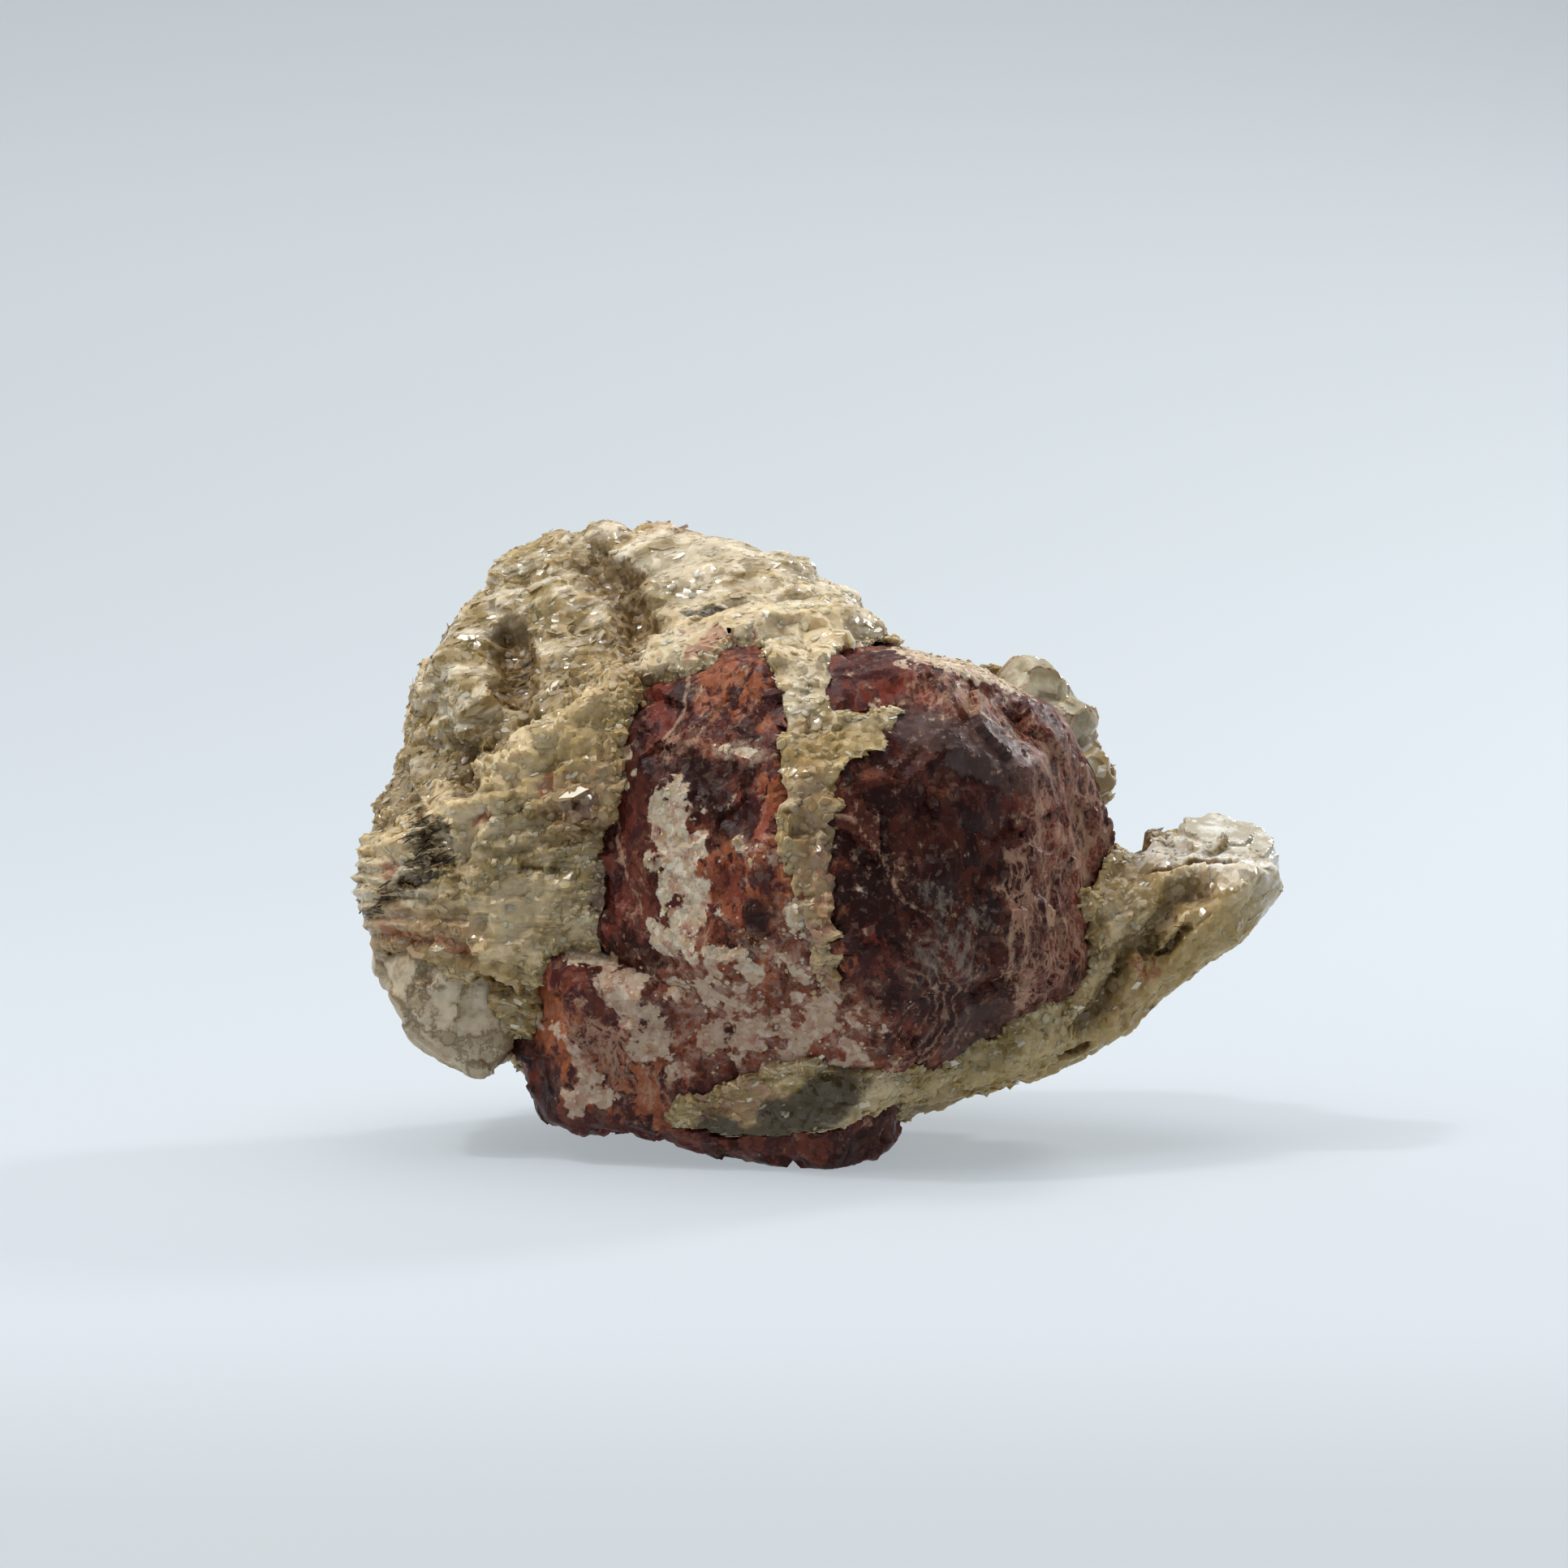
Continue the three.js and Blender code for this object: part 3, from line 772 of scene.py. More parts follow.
def streaks(graph, place, length, thickness, detail=3.0, roughness=0.5):
    """Noise drawn out along the layers."""
    drawn_out = through_layers(graph, place) * (1.0, 1.0, length / thickness)
    return graph.noise(drawn_out, length, detail, roughness)


# %% The white lump's place in the rock
white_lump = stone_from("quartz_lump", "white_quartz", grid=0.2, rounds=16)

# %% [markdown]
# The relief starts with a Blur Attribute node, which evens out the two places that are filled. The
# ledges are a stair in the height through the layers, the plates and grains are tilted planes, and
# the ribs are streaks. At the back, where no marks reach, broad lenses give the rock its form.

# %% Filling, and the masks of the schist's relief
FILLING_ROUNDS = 150
LEDGE = 1.5
graph, skin, place = new_relief("schist relief")
blurred = {0: place * MM, 1: FILLING_ROUNDS, 2: stored(graph, "filled").step(0.0, 0.4)}
blurred = graph.add("GeometryNodeBlurAttribute", {"data_type": "FLOAT_VECTOR"}, blurred)
skin = graph.add("GeometryNodeSetPosition", {}, {"Geometry": skin, "Position": blurred})
layered = through_layers(graph, place)
in_vein = stored(graph, "vein").step(0.0, 0.4)
behind = place.part("Y").step(1.0, 5.0)
sugary_mark = stored(graph, "sugary").step(0.0, 0.6)
bright_mark = stored(graph, "bright").step(0.0, 0.5)
tail = stored(graph, "golden").at_least(stored(graph, "snowy")).at_least(stored(graph, "smoky"))
tail = tail.step(0.0, 0.6) * (1 - behind)
calm = 1 - in_vein.at_least(stored(graph, "golden").step(0.0, 0.6)).at_least(sugary_mark) * 0.75
uneven = graph.noise(place, 7, detail=2).step(0.36, 0.6)
print("the masks take", len(graph.tree.nodes), "nodes")

# %% Ledges, plates and grains
stair = (layered.part("Z") / LEDGE).past_whole()
ledges = stair.step(0.0, 0.7) * (1 - stair.step(0.82, 1.0)) - 0.5
plates = facets(graph, place, 2.4, 0.22)
grains = facets(graph, layered * (1.0, 1.0, 1.8), 1.1, 0.28)
ribs = streaks(graph, place, 3.6, 1.0, detail=2) - 0.5
lumps = facets(graph, place, 1.5, 0.4)
lenses = facets(graph, layered * (1.0, 1.0, 2.0), 5.0, 0.13)
height = (
    0.08
    + joint_with(graph, garnet) * side_walls(graph, place) * (0.45 - in_vein * 0.8)
    + joint_with(graph, white_lump) * 0.25
    + stored(graph, "fuller").step(0.0, 0.9) * 0.7
    + stored(graph, "ridge").step(0.0, 0.9) * 0.6
    - stored(graph, "valley").step(0.0, 0.9) * 0.6
    - stored(graph, "leaner").step(0.0, 0.9) * 0.8
    - stored(graph, "vein").step(0.3, 0.6) * 0.12
    + ledges * (0.35 - tail * 0.2) * graph.noise(place, 5).step(0.35, 0.6)
    + plates * (0.6 - bright_mark.at_least(tail) * 0.4)
    + grains * (0.5 - bright_mark * 0.35)
    + ribs * (0.85 - uneven * behind * 0.65) * calm
    + lenses * behind
    + lumps * sugary_mark * 0.6
    - stored(graph, "hollow").step(0.2, 0.9) * 1.2
    - stored(graph, "crevices").step(0.2, 0.9) * 0.7
)
moved = lift(graph, skin, height)
moved = keep(graph, moved, "height", height)
finish_relief(graph, moved, schist)
print_span(schist)

# %% [markdown]
# ## The quartz and the mica book
#
# The white lump at the lower left is smooth, so it gets only low swells and a few chips. The grey
# grains at the upper right are glassy and water-worn: they are smoothed, then get wide, low planes.
# The mica book is a stack of sheets, and only its faces are roughened.

# %% The white lump
graph, skin, place = new_relief("white quartz relief")
chips = facets(graph, place, 2.2, 0.14)
crumbs = facets(graph, place, 0.7, 0.08)
swells = (graph.noise(place, 4.5, detail=3) - 0.5) * 1.6
moved = lift(graph, skin, 0.15 + chips + crumbs + swells)
finish_relief(graph, moved, white_lump)

# %% The grey grains
grey_grains = stone_from("grey_quartz", "grey_grains", grid=0.14, rounds=8)
graph, skin, place = new_relief("grey quartz relief")
chips = facets(graph, place, 1.3, 0.12)
swells = (graph.noise(place, 1.6, detail=3) - 0.5) * 0.5
moved = lift(graph, skin, -0.2 + chips + swells)
finish_relief(graph, moved, grey_grains)

# %% The mica book
mica_book = stone_from("muscovite_book", "mica_book", grid=0.1, rounds=1)
graph, skin, place = new_relief("mica book relief")
chips = facets(graph, place, 0.7, 0.2)
swells = (graph.noise(place, 1.6, detail=4) - 0.5) * 0.8
moved = lift(graph, skin, 0.02 + chips * 0.4 + swells)
finish_relief(graph, moved, mica_book)

# %% [markdown]
# ## Flakes and grains
#
# What makes schist glitter is that thousands of mica flakes each catch the light at their own
# moment. A bump in the material can't do that at the outline, so the flakes are real. Six flakes
# and three grains are modelled, each from a primitive whose corners are pulled about, and geometry
# nodes strew copies of them over the skin. The flakes lie close to the skin, with their length
# along the layers and some disorder.

# %% Six flakes
FLAKE_CORNERS = 5
FLAKE_SEED = 40


def flake_shape(index):
    """A thin, uneven plate, one unit across."""
    bpy.ops.object.select_all(action="DESELECT")
    bpy.ops.mesh.primitive_cylinder_add(vertices=FLAKE_CORNERS, radius=0.5, depth=0.06)
    flake = bpy.context.object
    flake.name = f"flake_{index}"
    shape = np.random.default_rng(FLAKE_SEED + index)
    corners = flake.data.vertices
    for low in range(0, len(corners), 2):
        pull = shape.uniform(0.55, 1.2)
        for corner in (corners[low], corners[low + 1]):
            corner.co.x *= pull * 1.2
            corner.co.y *= pull * 0.75
    return flake


flake_shapes = [flake_shape(i) for i in range(6)]
print("there are", len(flake_shapes), "flakes of", triangles(flake_shapes[0]), "triangles")

# %% Three grains
GRAIN_SEED = 60


def grain_shape(index):
    """An angular grain, one unit across."""
    bpy.ops.object.select_all(action="DESELECT")
    bpy.ops.mesh.primitive_ico_sphere_add(subdivisions=1, radius=0.5)
    grain = bpy.context.object
    grain.name = f"grain_{index}"
    shape = np.random.default_rng(GRAIN_SEED + index)
    for point in grain.data.vertices:
        point.co *= shape.uniform(0.7, 1.2)
    return grain


grain_shapes = [grain_shape(i) for i in range(3)]
print("there are", len(grain_shapes), "grains of", triangles(grain_shapes[0]), "triangles")

# %% A palette of each


def palette_of(name, shapes):
    """A collection of shapes to strew, kept out of the scene."""
    palette = bpy.data.collections.new(name)
    for shape in shapes:
        palette.objects.link(shape)
        for collection in shape.users_collection:
            if collection != palette:
                collection.objects.unlink(shape)
    return palette


flakes = palette_of("flakes", flake_shapes)
angular_grains = palette_of("grains", grain_shapes)

# %% [markdown]
# Strewing takes four steps: points are scattered over the skin, each gets a turn and a size by
# chance, a flake or grain is put on it, and the copies are made real, so that they can be exported.
# Each copy keeps a tone, a number from 0 to 1, by which the material tells one from the next.

# %% A copy's turn and size
CLUSTER = 1.8


def chance(graph, kind, low, high, seed):
    """A random number or vector for each point."""
    least, greatest, output = {"FLOAT": (2, 3, 1), "FLOAT_VECTOR": (0, 1, 0)}[kind]  # its sockets
    inputs = {least: low, greatest: high, "Seed": seed}
    return graph.add("FunctionNodeRandomValue", {"data_type": kind}, inputs, output)


def laid_down(graph, place, normal, clusters):
    """The turn that lays a copy on the skin, with its length along the layers."""
    tip = (graph.cells(place, CLUSTER, "Color") - 0.5) * clusters
    flat = graph.add("FunctionNodeAlignRotationToVector", {"axis": "Z"}, {"Vector": normal + tip})
    pivot = {"axis": "X", "pivot_axis": "Z"}
    inputs = {"Rotation": flat, "Vector": normal.across(layers_face(graph, place))}
    return graph.add("FunctionNodeAlignRotationToVector", pivot, inputs)


# %% Strewing copies over a skin


def strew(host, name, palette, per_mm2, width, form, lean, spin, where, seed, clusters=0.0):
    """A new piece: copies of a palette's shapes over a host's skin.

    Width is the (least, greatest) size in millimetres, and form stretches a copy along the layers,
    across them and out of the skin. Lean and spin are how far it may tip and turn, in degrees.
    Where is a function that gives the share kept at each place. Clusters leans neighbours
    together."""
    piece = bpy.data.objects.new(name, host.data.copy())
    bpy.context.scene.collection.objects.link(piece)
    graph, skin, place = new_relief(name)
    off_the_floor = place.part("Z").step(0.3, 0.7)
    density = where(graph, place) * off_the_floor * (per_mm2 / MM**2)
    by_chance = {"distribute_method": "RANDOM"}
    spread = {"Mesh": skin, "Density": density, "Seed": seed}
    points = graph.add("GeometryNodeDistributePointsOnFaces", by_chance, spread)
    normal = Value(graph, points.socket.node.outputs["Normal"])
    most = [math.radians(angle) for angle in (lean, lean, spin)]
    turn = chance(graph, "FLOAT_VECTOR", [-angle for angle in most], most, seed + 1)
    turn = graph.add("FunctionNodeEulerToRotation", {}, {0: turn})
    turns = {0: laid_down(graph, place, normal, clusters), 1: turn}
    rotation = graph.add("FunctionNodeRotateRotation", {"rotation_space": "LOCAL"}, turns)
    least, greatest = (size * MM for size in width)
    size = chance(graph, "FLOAT", 0.0, 1.0, seed + 2) ** 2.0 * (greatest - least) + least
    stretched = {axis: size * share for axis, share in enumerate(form)}
    scale = graph.add("ShaderNodeCombineXYZ", {}, stretched)
    points = keep(graph, points, "tone", chance(graph, "FLOAT", 0.0, 1.0, seed + 3))
    shapes = graph.add("GeometryNodeCollectionInfo", {}, {0: palette, 1: True, 2: True})
    copies = {"Points": points, "Instance": shapes, "Pick Instance": True}
    copies |= {"Rotation": rotation, "Scale": scale}
    strewn = graph.add("GeometryNodeInstanceOnPoints", {}, copies)
    real = graph.add("GeometryNodeRealizeInstances", {}, {0: strewn})
    finish_relief(graph, real, piece)
    print(name, "has", triangles(piece), "triangles")
    return piece


# %% [markdown]
# Where things lie follows the rock. Mica comes in patches and leaves the sugary quartz, the golden
# tail and the dark pockets nearly bare. Quartz grains fill the places between, and they bank up
# along the border of the garnet. The side of the schist that lies against the garnet gets nothing,
# because it can't be seen.

# %% Where mica lies


def on_outside(graph, place):
    """1 on the outer skin of the rock and 0 against the garnet."""
    return outwards(graph, place).step(-0.5, 0.0)


def sugary(graph):
    """1 where the rock is mostly quartz."""
    return stored(graph, "sugary").step(0.0, 0.5)


def mica_places(graph, place):
    """Patches of mica."""
    patches = graph.noise(place, 4.0, detail=2).step(0.32, 0.6)
    pockets = stored(graph, "hollow").at_least(stored(graph, "biotite"))
    pockets = pockets.at_least(stored(graph, "glassy")).step(0.0, 0.6)
    bare = sugary(graph).at_least(stored(graph, "golden").step(0.0, 0.7)) * 0.75
    return on_outside(graph, place) * (patches * 0.7 + 0.3) * (1 - pockets * 0.9) * (1 - bare)


def plate_places(graph, place):
    """Mica plates: fewer of them where the mica is fine and bright."""
    return mica_places(graph, place) * (1 - stored(graph, "bright").step(0.0, 0.5) * 0.8)


def biotite_places(graph, place):
    """The patches of dark mica."""
    return on_outside(graph, place) * stored(graph, "biotite").step(0.2, 0.6)


# %% Where grains lie


def not_glassy(graph):
    """0 on the dark, glassy patches."""
    return 1 - stored(graph, "glassy").step(0.2, 0.6)


def grain_places(graph, place):
    """Quartz between the patches of mica."""
    patches = 1 - graph.noise(place, 4.0, detail=2).step(0.4, 0.7)
    return on_outside(graph, place) * patches * not_glassy(graph) * (0.4 + sugary(graph) * 1.6)


def border_places(graph, place):
    """The schist's border with the garnet, apart from most of the vein."""
    away_from_vein = 1 - stored(graph, "vein").step(0.0, 0.4) * 0.85
    at_border = joint_with(graph, garnet).above(0.05)
    return on_outside(graph, place) * at_border * away_from_vein * not_glassy(graph)


def crust_places(graph, place):
    """The garnet's crust, and a little beside it."""
    return stored(graph, "covered").step(0.1, 1.0) + stored(graph, "speckle").step(0.0, 1.0) * 0.25


# %% Strewing the mica, the quartz and the crust
mica_plates = strew(
    schist, "mica_plates", flakes, per_mm2=1.6, width=(0.35, 1.0), form=(1.5, 0.8, 0.5),
    lean=6, spin=30, where=plate_places, seed=5, clusters=0.3,
)
mica_flakes = strew(
    schist, "mica_flakes", flakes, per_mm2=4.4, width=(0.18, 0.5), form=(1.7, 0.8, 0.8),
    lean=10, spin=30, where=mica_places, seed=7, clusters=0.5,
)
quartz_grains = strew(
    schist, "quartz_grains", angular_grains, per_mm2=1.6, width=(0.2, 0.55), form=(1.3, 1.0, 0.5),
    lean=15, spin=60, where=grain_places, seed=21,
)
border_grains = strew(
    schist, "border_grains", angular_grains, per_mm2=5.0, width=(0.15, 0.45), form=(1.0, 1.0, 0.7),
    lean=90, spin=180, where=border_places, seed=27,
)
biotite_flakes = strew(
    schist, "biotite_flakes", flakes, per_mm2=8.0, width=(0.2, 0.6), form=(3.2, 0.35, 0.8),
    lean=14, spin=25, where=biotite_places, seed=51,
)
crust_grains = strew(
    garnet, "crust_grains", angular_grains, per_mm2=4.0, width=(0.15, 0.35), form=(1.0, 1.0, 0.4),
    lean=20, spin=180, where=crust_places, seed=33,
)

# %% [markdown]
# ## Materials
#
# A stone's colour goes through the stone, so every pattern reads a place in space: the Object
# coordinates, in millimetres. They need no unwrapping, and the pattern stays on the stone whatever
# the view. Each material is one Principled BSDF. Its colour starts with one tone, and every line
# blends one more over it, where noise, cells or a mark of the skin says so.

# %% Starting a material


def new_material(name, **constants):
    """A material with a Principled BSDF whose plain sockets are set by name."""
    material = bpy.data.materials.new(name)
    material.use_nodes = True
    graph = Graph(material.node_tree)
    bsdf = material.node_tree.nodes["Principled BSDF"]
    for socket, constant in constants.items():
        bsdf.inputs[socket.replace("_", " ")].default_value = constant
    place = graph.add("ShaderNodeTexCoord", {}, {}, "Object") * (1 / MM)
    return material, graph, bsdf, place


def feed(graph, bsdf, **sockets):
    """Links values to the sockets of a Principled BSDF."""
    for socket, value in sockets.items():
        graph.tree.links.new(value.socket, bsdf.inputs[socket.replace("_", " ")])


def painted(graph, name):
    """A number that was painted or stored on the skin."""
    settings = {"attribute_type": "GEOMETRY", "attribute_name": name}
    return graph.add("ShaderNodeAttribute", settings, {}, "Fac")


def bump(graph, height, strength, depth):
    """A normal from a height in 0 to 1 whose depth is in millimetres."""
    inputs = {"Strength": strength, "Distance": depth * MM, "Height": height}
    return graph.add("ShaderNodeBump", {}, inputs)


def dress(piece, material):
    """Puts a material on a piece."""
    piece.data.materials.clear()
    piece.data.materials.append(material)
    print(piece.name, "wears", material.name, "of", len(material.node_tree.nodes), "nodes")


# %% [markdown]
# ## The garnet's material
#
# Almandine is nearly black where it is thick, and red or brown where light comes out at a crack or
# an edge. A see-through stone would show that depth, but an exported material can't keep it. So the
# depth is painted, as blocks and shards of different darkness with pale joints between them.

# %% The garnet's colours
DEEP = (0.019, 0.0035, 0.0025)
PURPLE_BROWN = (0.058, 0.013, 0.012)
RED_BROWN = (0.15, 0.035, 0.020)
BRIGHT_RED = (0.20, 0.034, 0.022)
RUSTY = (0.33, 0.095, 0.036)
ROSE = (0.37, 0.17, 0.12)
PALE_SEAM = (0.42, 0.27, 0.17)
# The slate grey is the colour of the painted reflection on the garnet's flat faces.
SLATE_SHEEN = (0.105, 0.070, 0.062)
FROST_GREY = (0.30, 0.235, 0.19)
CRUST_WHITE = (0.58, 0.49, 0.36)
BEIGE = (0.45, 0.31, 0.125)
PALE_CREAM = (0.88, 0.81, 0.66)
print("the garnet is between", DEEP, "in its depth and", CRUST_WHITE, "on its crust")

# %% Zones of the garnet, frayed at their edges
almandine, graph, bsdf, place = new_material("almandine", IOR=1.6, Specular_IOR_Level=0.11)
drift = graph.noise(place, 2.2, detail=5, roughness=0.6, output="Color")
bent = place + (drift - 0.5) * 2.0
coarse_fray = (graph.noise(place, 1.1, detail=4, roughness=0.65) - 0.5) * 1.6
fine_fray = (graph.noise(place, 0.35, detail=4, roughness=0.6) - 0.5) * 1.2
fray = coarse_fray + fine_fray * 0.5
mottle = graph.noise(bent, 1.6, detail=5, roughness=0.68)
speck = graph.noise(bent, 0.7, detail=5, roughness=0.7)
zones = {
    name: (painted(graph, name) + fray * reach).step(low, high)
    for name, reach, low, high in (
        ("dark", 0.9, 0.15, 0.6),
        ("rust", 1.0, 0.2, 0.7),
        ("red", 0.9, 0.3, 0.7),
        ("pale", 1.5, 0.1, 0.9),
        ("grey", 0.4, 0.40, 0.55),
        ("frost", 1.0, 0.2, 0.7),
        ("speckle", 0.9, 0.15, 0.7),
        ("covered", 1.4, 0.15, 0.95),
        ("cracked", 1.3, 0.1, 1.0),
        ("arcs", 0.9, 0.2, 0.9),
        ("seams", 0.08, 0.88, 0.97),
    )
}
print("the garnet has", len(zones), "zones")

# %% Upright blocks and small shards, each with its own tone
upright = bent * (1.0, 1.0, 0.5)
block_tone = graph.cells(upright, 1.3, "Color")
shard_tone = graph.cells(upright, 0.45, "Color")
tone = mottle + (block_tone.part("X") - 0.5) * 0.4 + (shard_tone.part("X") - 0.5) * 0.35
body = graph.mix(tone.step(0.36, 0.64), PURPLE_BROWN, RED_BROWN)
deep = block_tone.part("Y") * 0.6 + shard_tone.part("Y") * 0.4 + (mottle - 0.5)
body = graph.mix(deep.step(0.5, 0.75) * 0.75, body, DEEP)
rusted = (tone + (speck - 0.5) * 0.8 + fine_fray * 0.2).step(0.38, 0.60)
body = graph.mix(zones["rust"] * rusted * 0.85, body, RUSTY)
body = graph.mix(zones["dark"] * 0.95, body, DEEP)
embers = (block_tone.part("Z") * 0.4 + tone * 0.6).step(0.46, 0.66)
body = graph.mix(zones["dark"] * embers * 0.35, body, RED_BROWN)
body = graph.mix(zones["red"] * tone.step(0.36, 0.66) * 0.7, body, BRIGHT_RED)
# Painted reflection: the grey faces get a grey sheen, as if they mirrored the pale room.
body = graph.mix(zones["grey"] * 0.5, body, SLATE_SHEEN)
print("blocks and shards take the material to", len(graph.tree.nodes), "nodes")

# %% Pale joints between the blocks
JOINTS = ((1.9, 0.8), (0.9, 1.0), (0.5, 0.9))  # the blocks' size, and the share of the joint width
joint_width = 0.006 + zones["pale"] * 0.045 + zones["cracked"] * 0.035
joint_width = joint_width - (zones["dark"] + zones["grey"]) * 0.03
patchy = graph.noise(place, 2.6, detail=3).step(0.38, 0.62)
joint_width = ((joint_width + coarse_fray * 0.05) * (0.4 + patchy * 0.8)).at_least(0.0)
joint_colour = graph.mix(speck.step(0.38, 0.58), ROSE, PALE_SEAM)
for size, wider in JOINTS:
    edge = graph.cells(upright, size, "Distance", feature="DISTANCE_TO_EDGE") + fine_fray * 0.03
    width = joint_width * wider
    joint = (1 - (edge - width).step(-0.03, 0.05)) * width.step(0.0, 0.05)
    body = graph.mix(joint * 0.6, body, joint_colour)
print("joints take the material to", len(graph.tree.nodes), "nodes")

# %% Pale specks, arcs, frost and seams
ARC_MIDDLE = (3.2, 0.0, 8.7)
ARC_STEP = 0.55
# Pale specks in the joint colour, most on the pale, cracked and rusty faces.
speck_share = (zones["pale"] + zones["cracked"] + zones["rust"] * 0.3).at_most(1.0)
pale_specks = graph.noise(place, 0.3, detail=3, roughness=0.6) + (mottle - 0.5) * 0.4
pale_specks = (pale_specks - zones["dark"] * 0.04).step(0.54, 0.64)
body = graph.mix(pale_specks * (0.06 + speck_share * 0.4), body, joint_colour)
body = graph.mix(zones["pale"] * speck.step(0.48, 0.60) * 0.35, body, ROSE)
ring = (place * (1.0, 0.0, 1.0) - ARC_MIDDLE).size() / ARC_STEP + mottle * 3.0
ring = ring.past_whole()
arc = ring.step(0.0, 0.2) * (1 - ring.step(0.25, 0.5)) * speck.step(0.34, 0.5)
body = graph.mix(arc * zones["arcs"] * 0.5, body, joint_colour)
frosting = graph.noise(upright, 0.6, detail=4, roughness=0.65)
body = graph.mix(zones["frost"] * frosting.step(0.42, 0.62) * 0.55, body, FROST_GREY)
body = graph.mix(zones["seams"] * speck.step(0.36, 0.5) * 0.8, body, joint_colour)
print("dust, arcs, frost and seams take the material to", len(graph.tree.nodes), "nodes")

# %% The quartz crust: sugary, and mixed with rusty garnet along the foot
FOOT = (8.0, 13.0)
sugar = graph.cells(place, 0.35, "Color")
cloudy = graph.noise(place, 0.8, detail=5, roughness=0.7)
crust_colour = graph.mix(cloudy.step(0.34, 0.52), ROSE, CRUST_WHITE)
crust_colour = graph.mix(sugar.part("X").step(0.5, 1.0) * 0.5, crust_colour, PALE_CREAM)
crust_colour = graph.mix(sugar.part("Y").step(0.6, 1.0) * 0.5, crust_colour, BEIGE)
crust_colour = graph.mix(sugar.part("Z").step(0.7, 1.0) * 0.4, crust_colour, RUSTY)
crust_colour = graph.mix((1 - place.part("Z").step(*FOOT)) * 0.35, crust_colour, ROSE)
white_specks = speck.step(0.46, 0.58) * 0.65
rusty_rims = speck.step(0.40, 0.46) * (1 - speck.step(0.46, 0.50)) * 0.7
body = graph.mix(zones["speckle"] * white_specks, body, graph.mix(0.6, crust_colour, ROSE))
body = graph.mix(zones["speckle"] * rusty_rims, body, RUSTY)
thick = (zones["covered"] + (sugar.part("Z") - 0.5) * 0.7).step(0.2, 0.8)
skin_colour = graph.mix(thick * 0.85, body, crust_colour)
print("the crust takes the material to", len(graph.tree.nodes), "nodes")

# %% The garnet's gloss and fine relief
gloss = 0.34 + mottle.step(0.35, 0.7) * 0.25 + zones["covered"] * 0.2 + zones["cracked"] * 0.15
pits = graph.cells(bent, 0.6, "Distance") * 0.5 + fine_fray
facing = (bump(graph, pits, 0.35, 0.1) + (shard_tone - 0.5) * 0.3).unit()
feed(graph, bsdf, Base_Color=skin_colour, Roughness=gloss, Normal=facing)
dress(garnet, almandine)

# %% [markdown]
# ## The schist's colours
#
# Mica and quartz grains are clear, so a flake shows the colour of the rock under it. The rock, the
# flakes and the grains therefore share one function of place, and each then adds its own tone. The
# rock starts between olive and beige, streaked along the layers, and the marks follow from the
# widest to the smallest.

# %% Colours of mica and quartz
CREAM = (0.70, 0.54, 0.31)
OLIVE_BEIGE = (0.25, 0.172, 0.055)
GOLD = (0.40, 0.275, 0.092)
TAN = (0.33, 0.175, 0.072)
BROWN = (0.15, 0.085, 0.022)
CHALK = (0.53, 0.425, 0.285)
SILVER = (0.84, 0.80, 0.70)
SNOW = (0.92, 0.92, 0.90)
SMOKE = (0.42, 0.37, 0.27)
DARK_OLIVE = (0.055, 0.038, 0.014)
NEAR_BLACK = (0.060, 0.034, 0.009)
print("the schist is between", NEAR_BLACK, "in its dark mica and", SNOW, "at its tip")

# %% The colour of the schist at a place


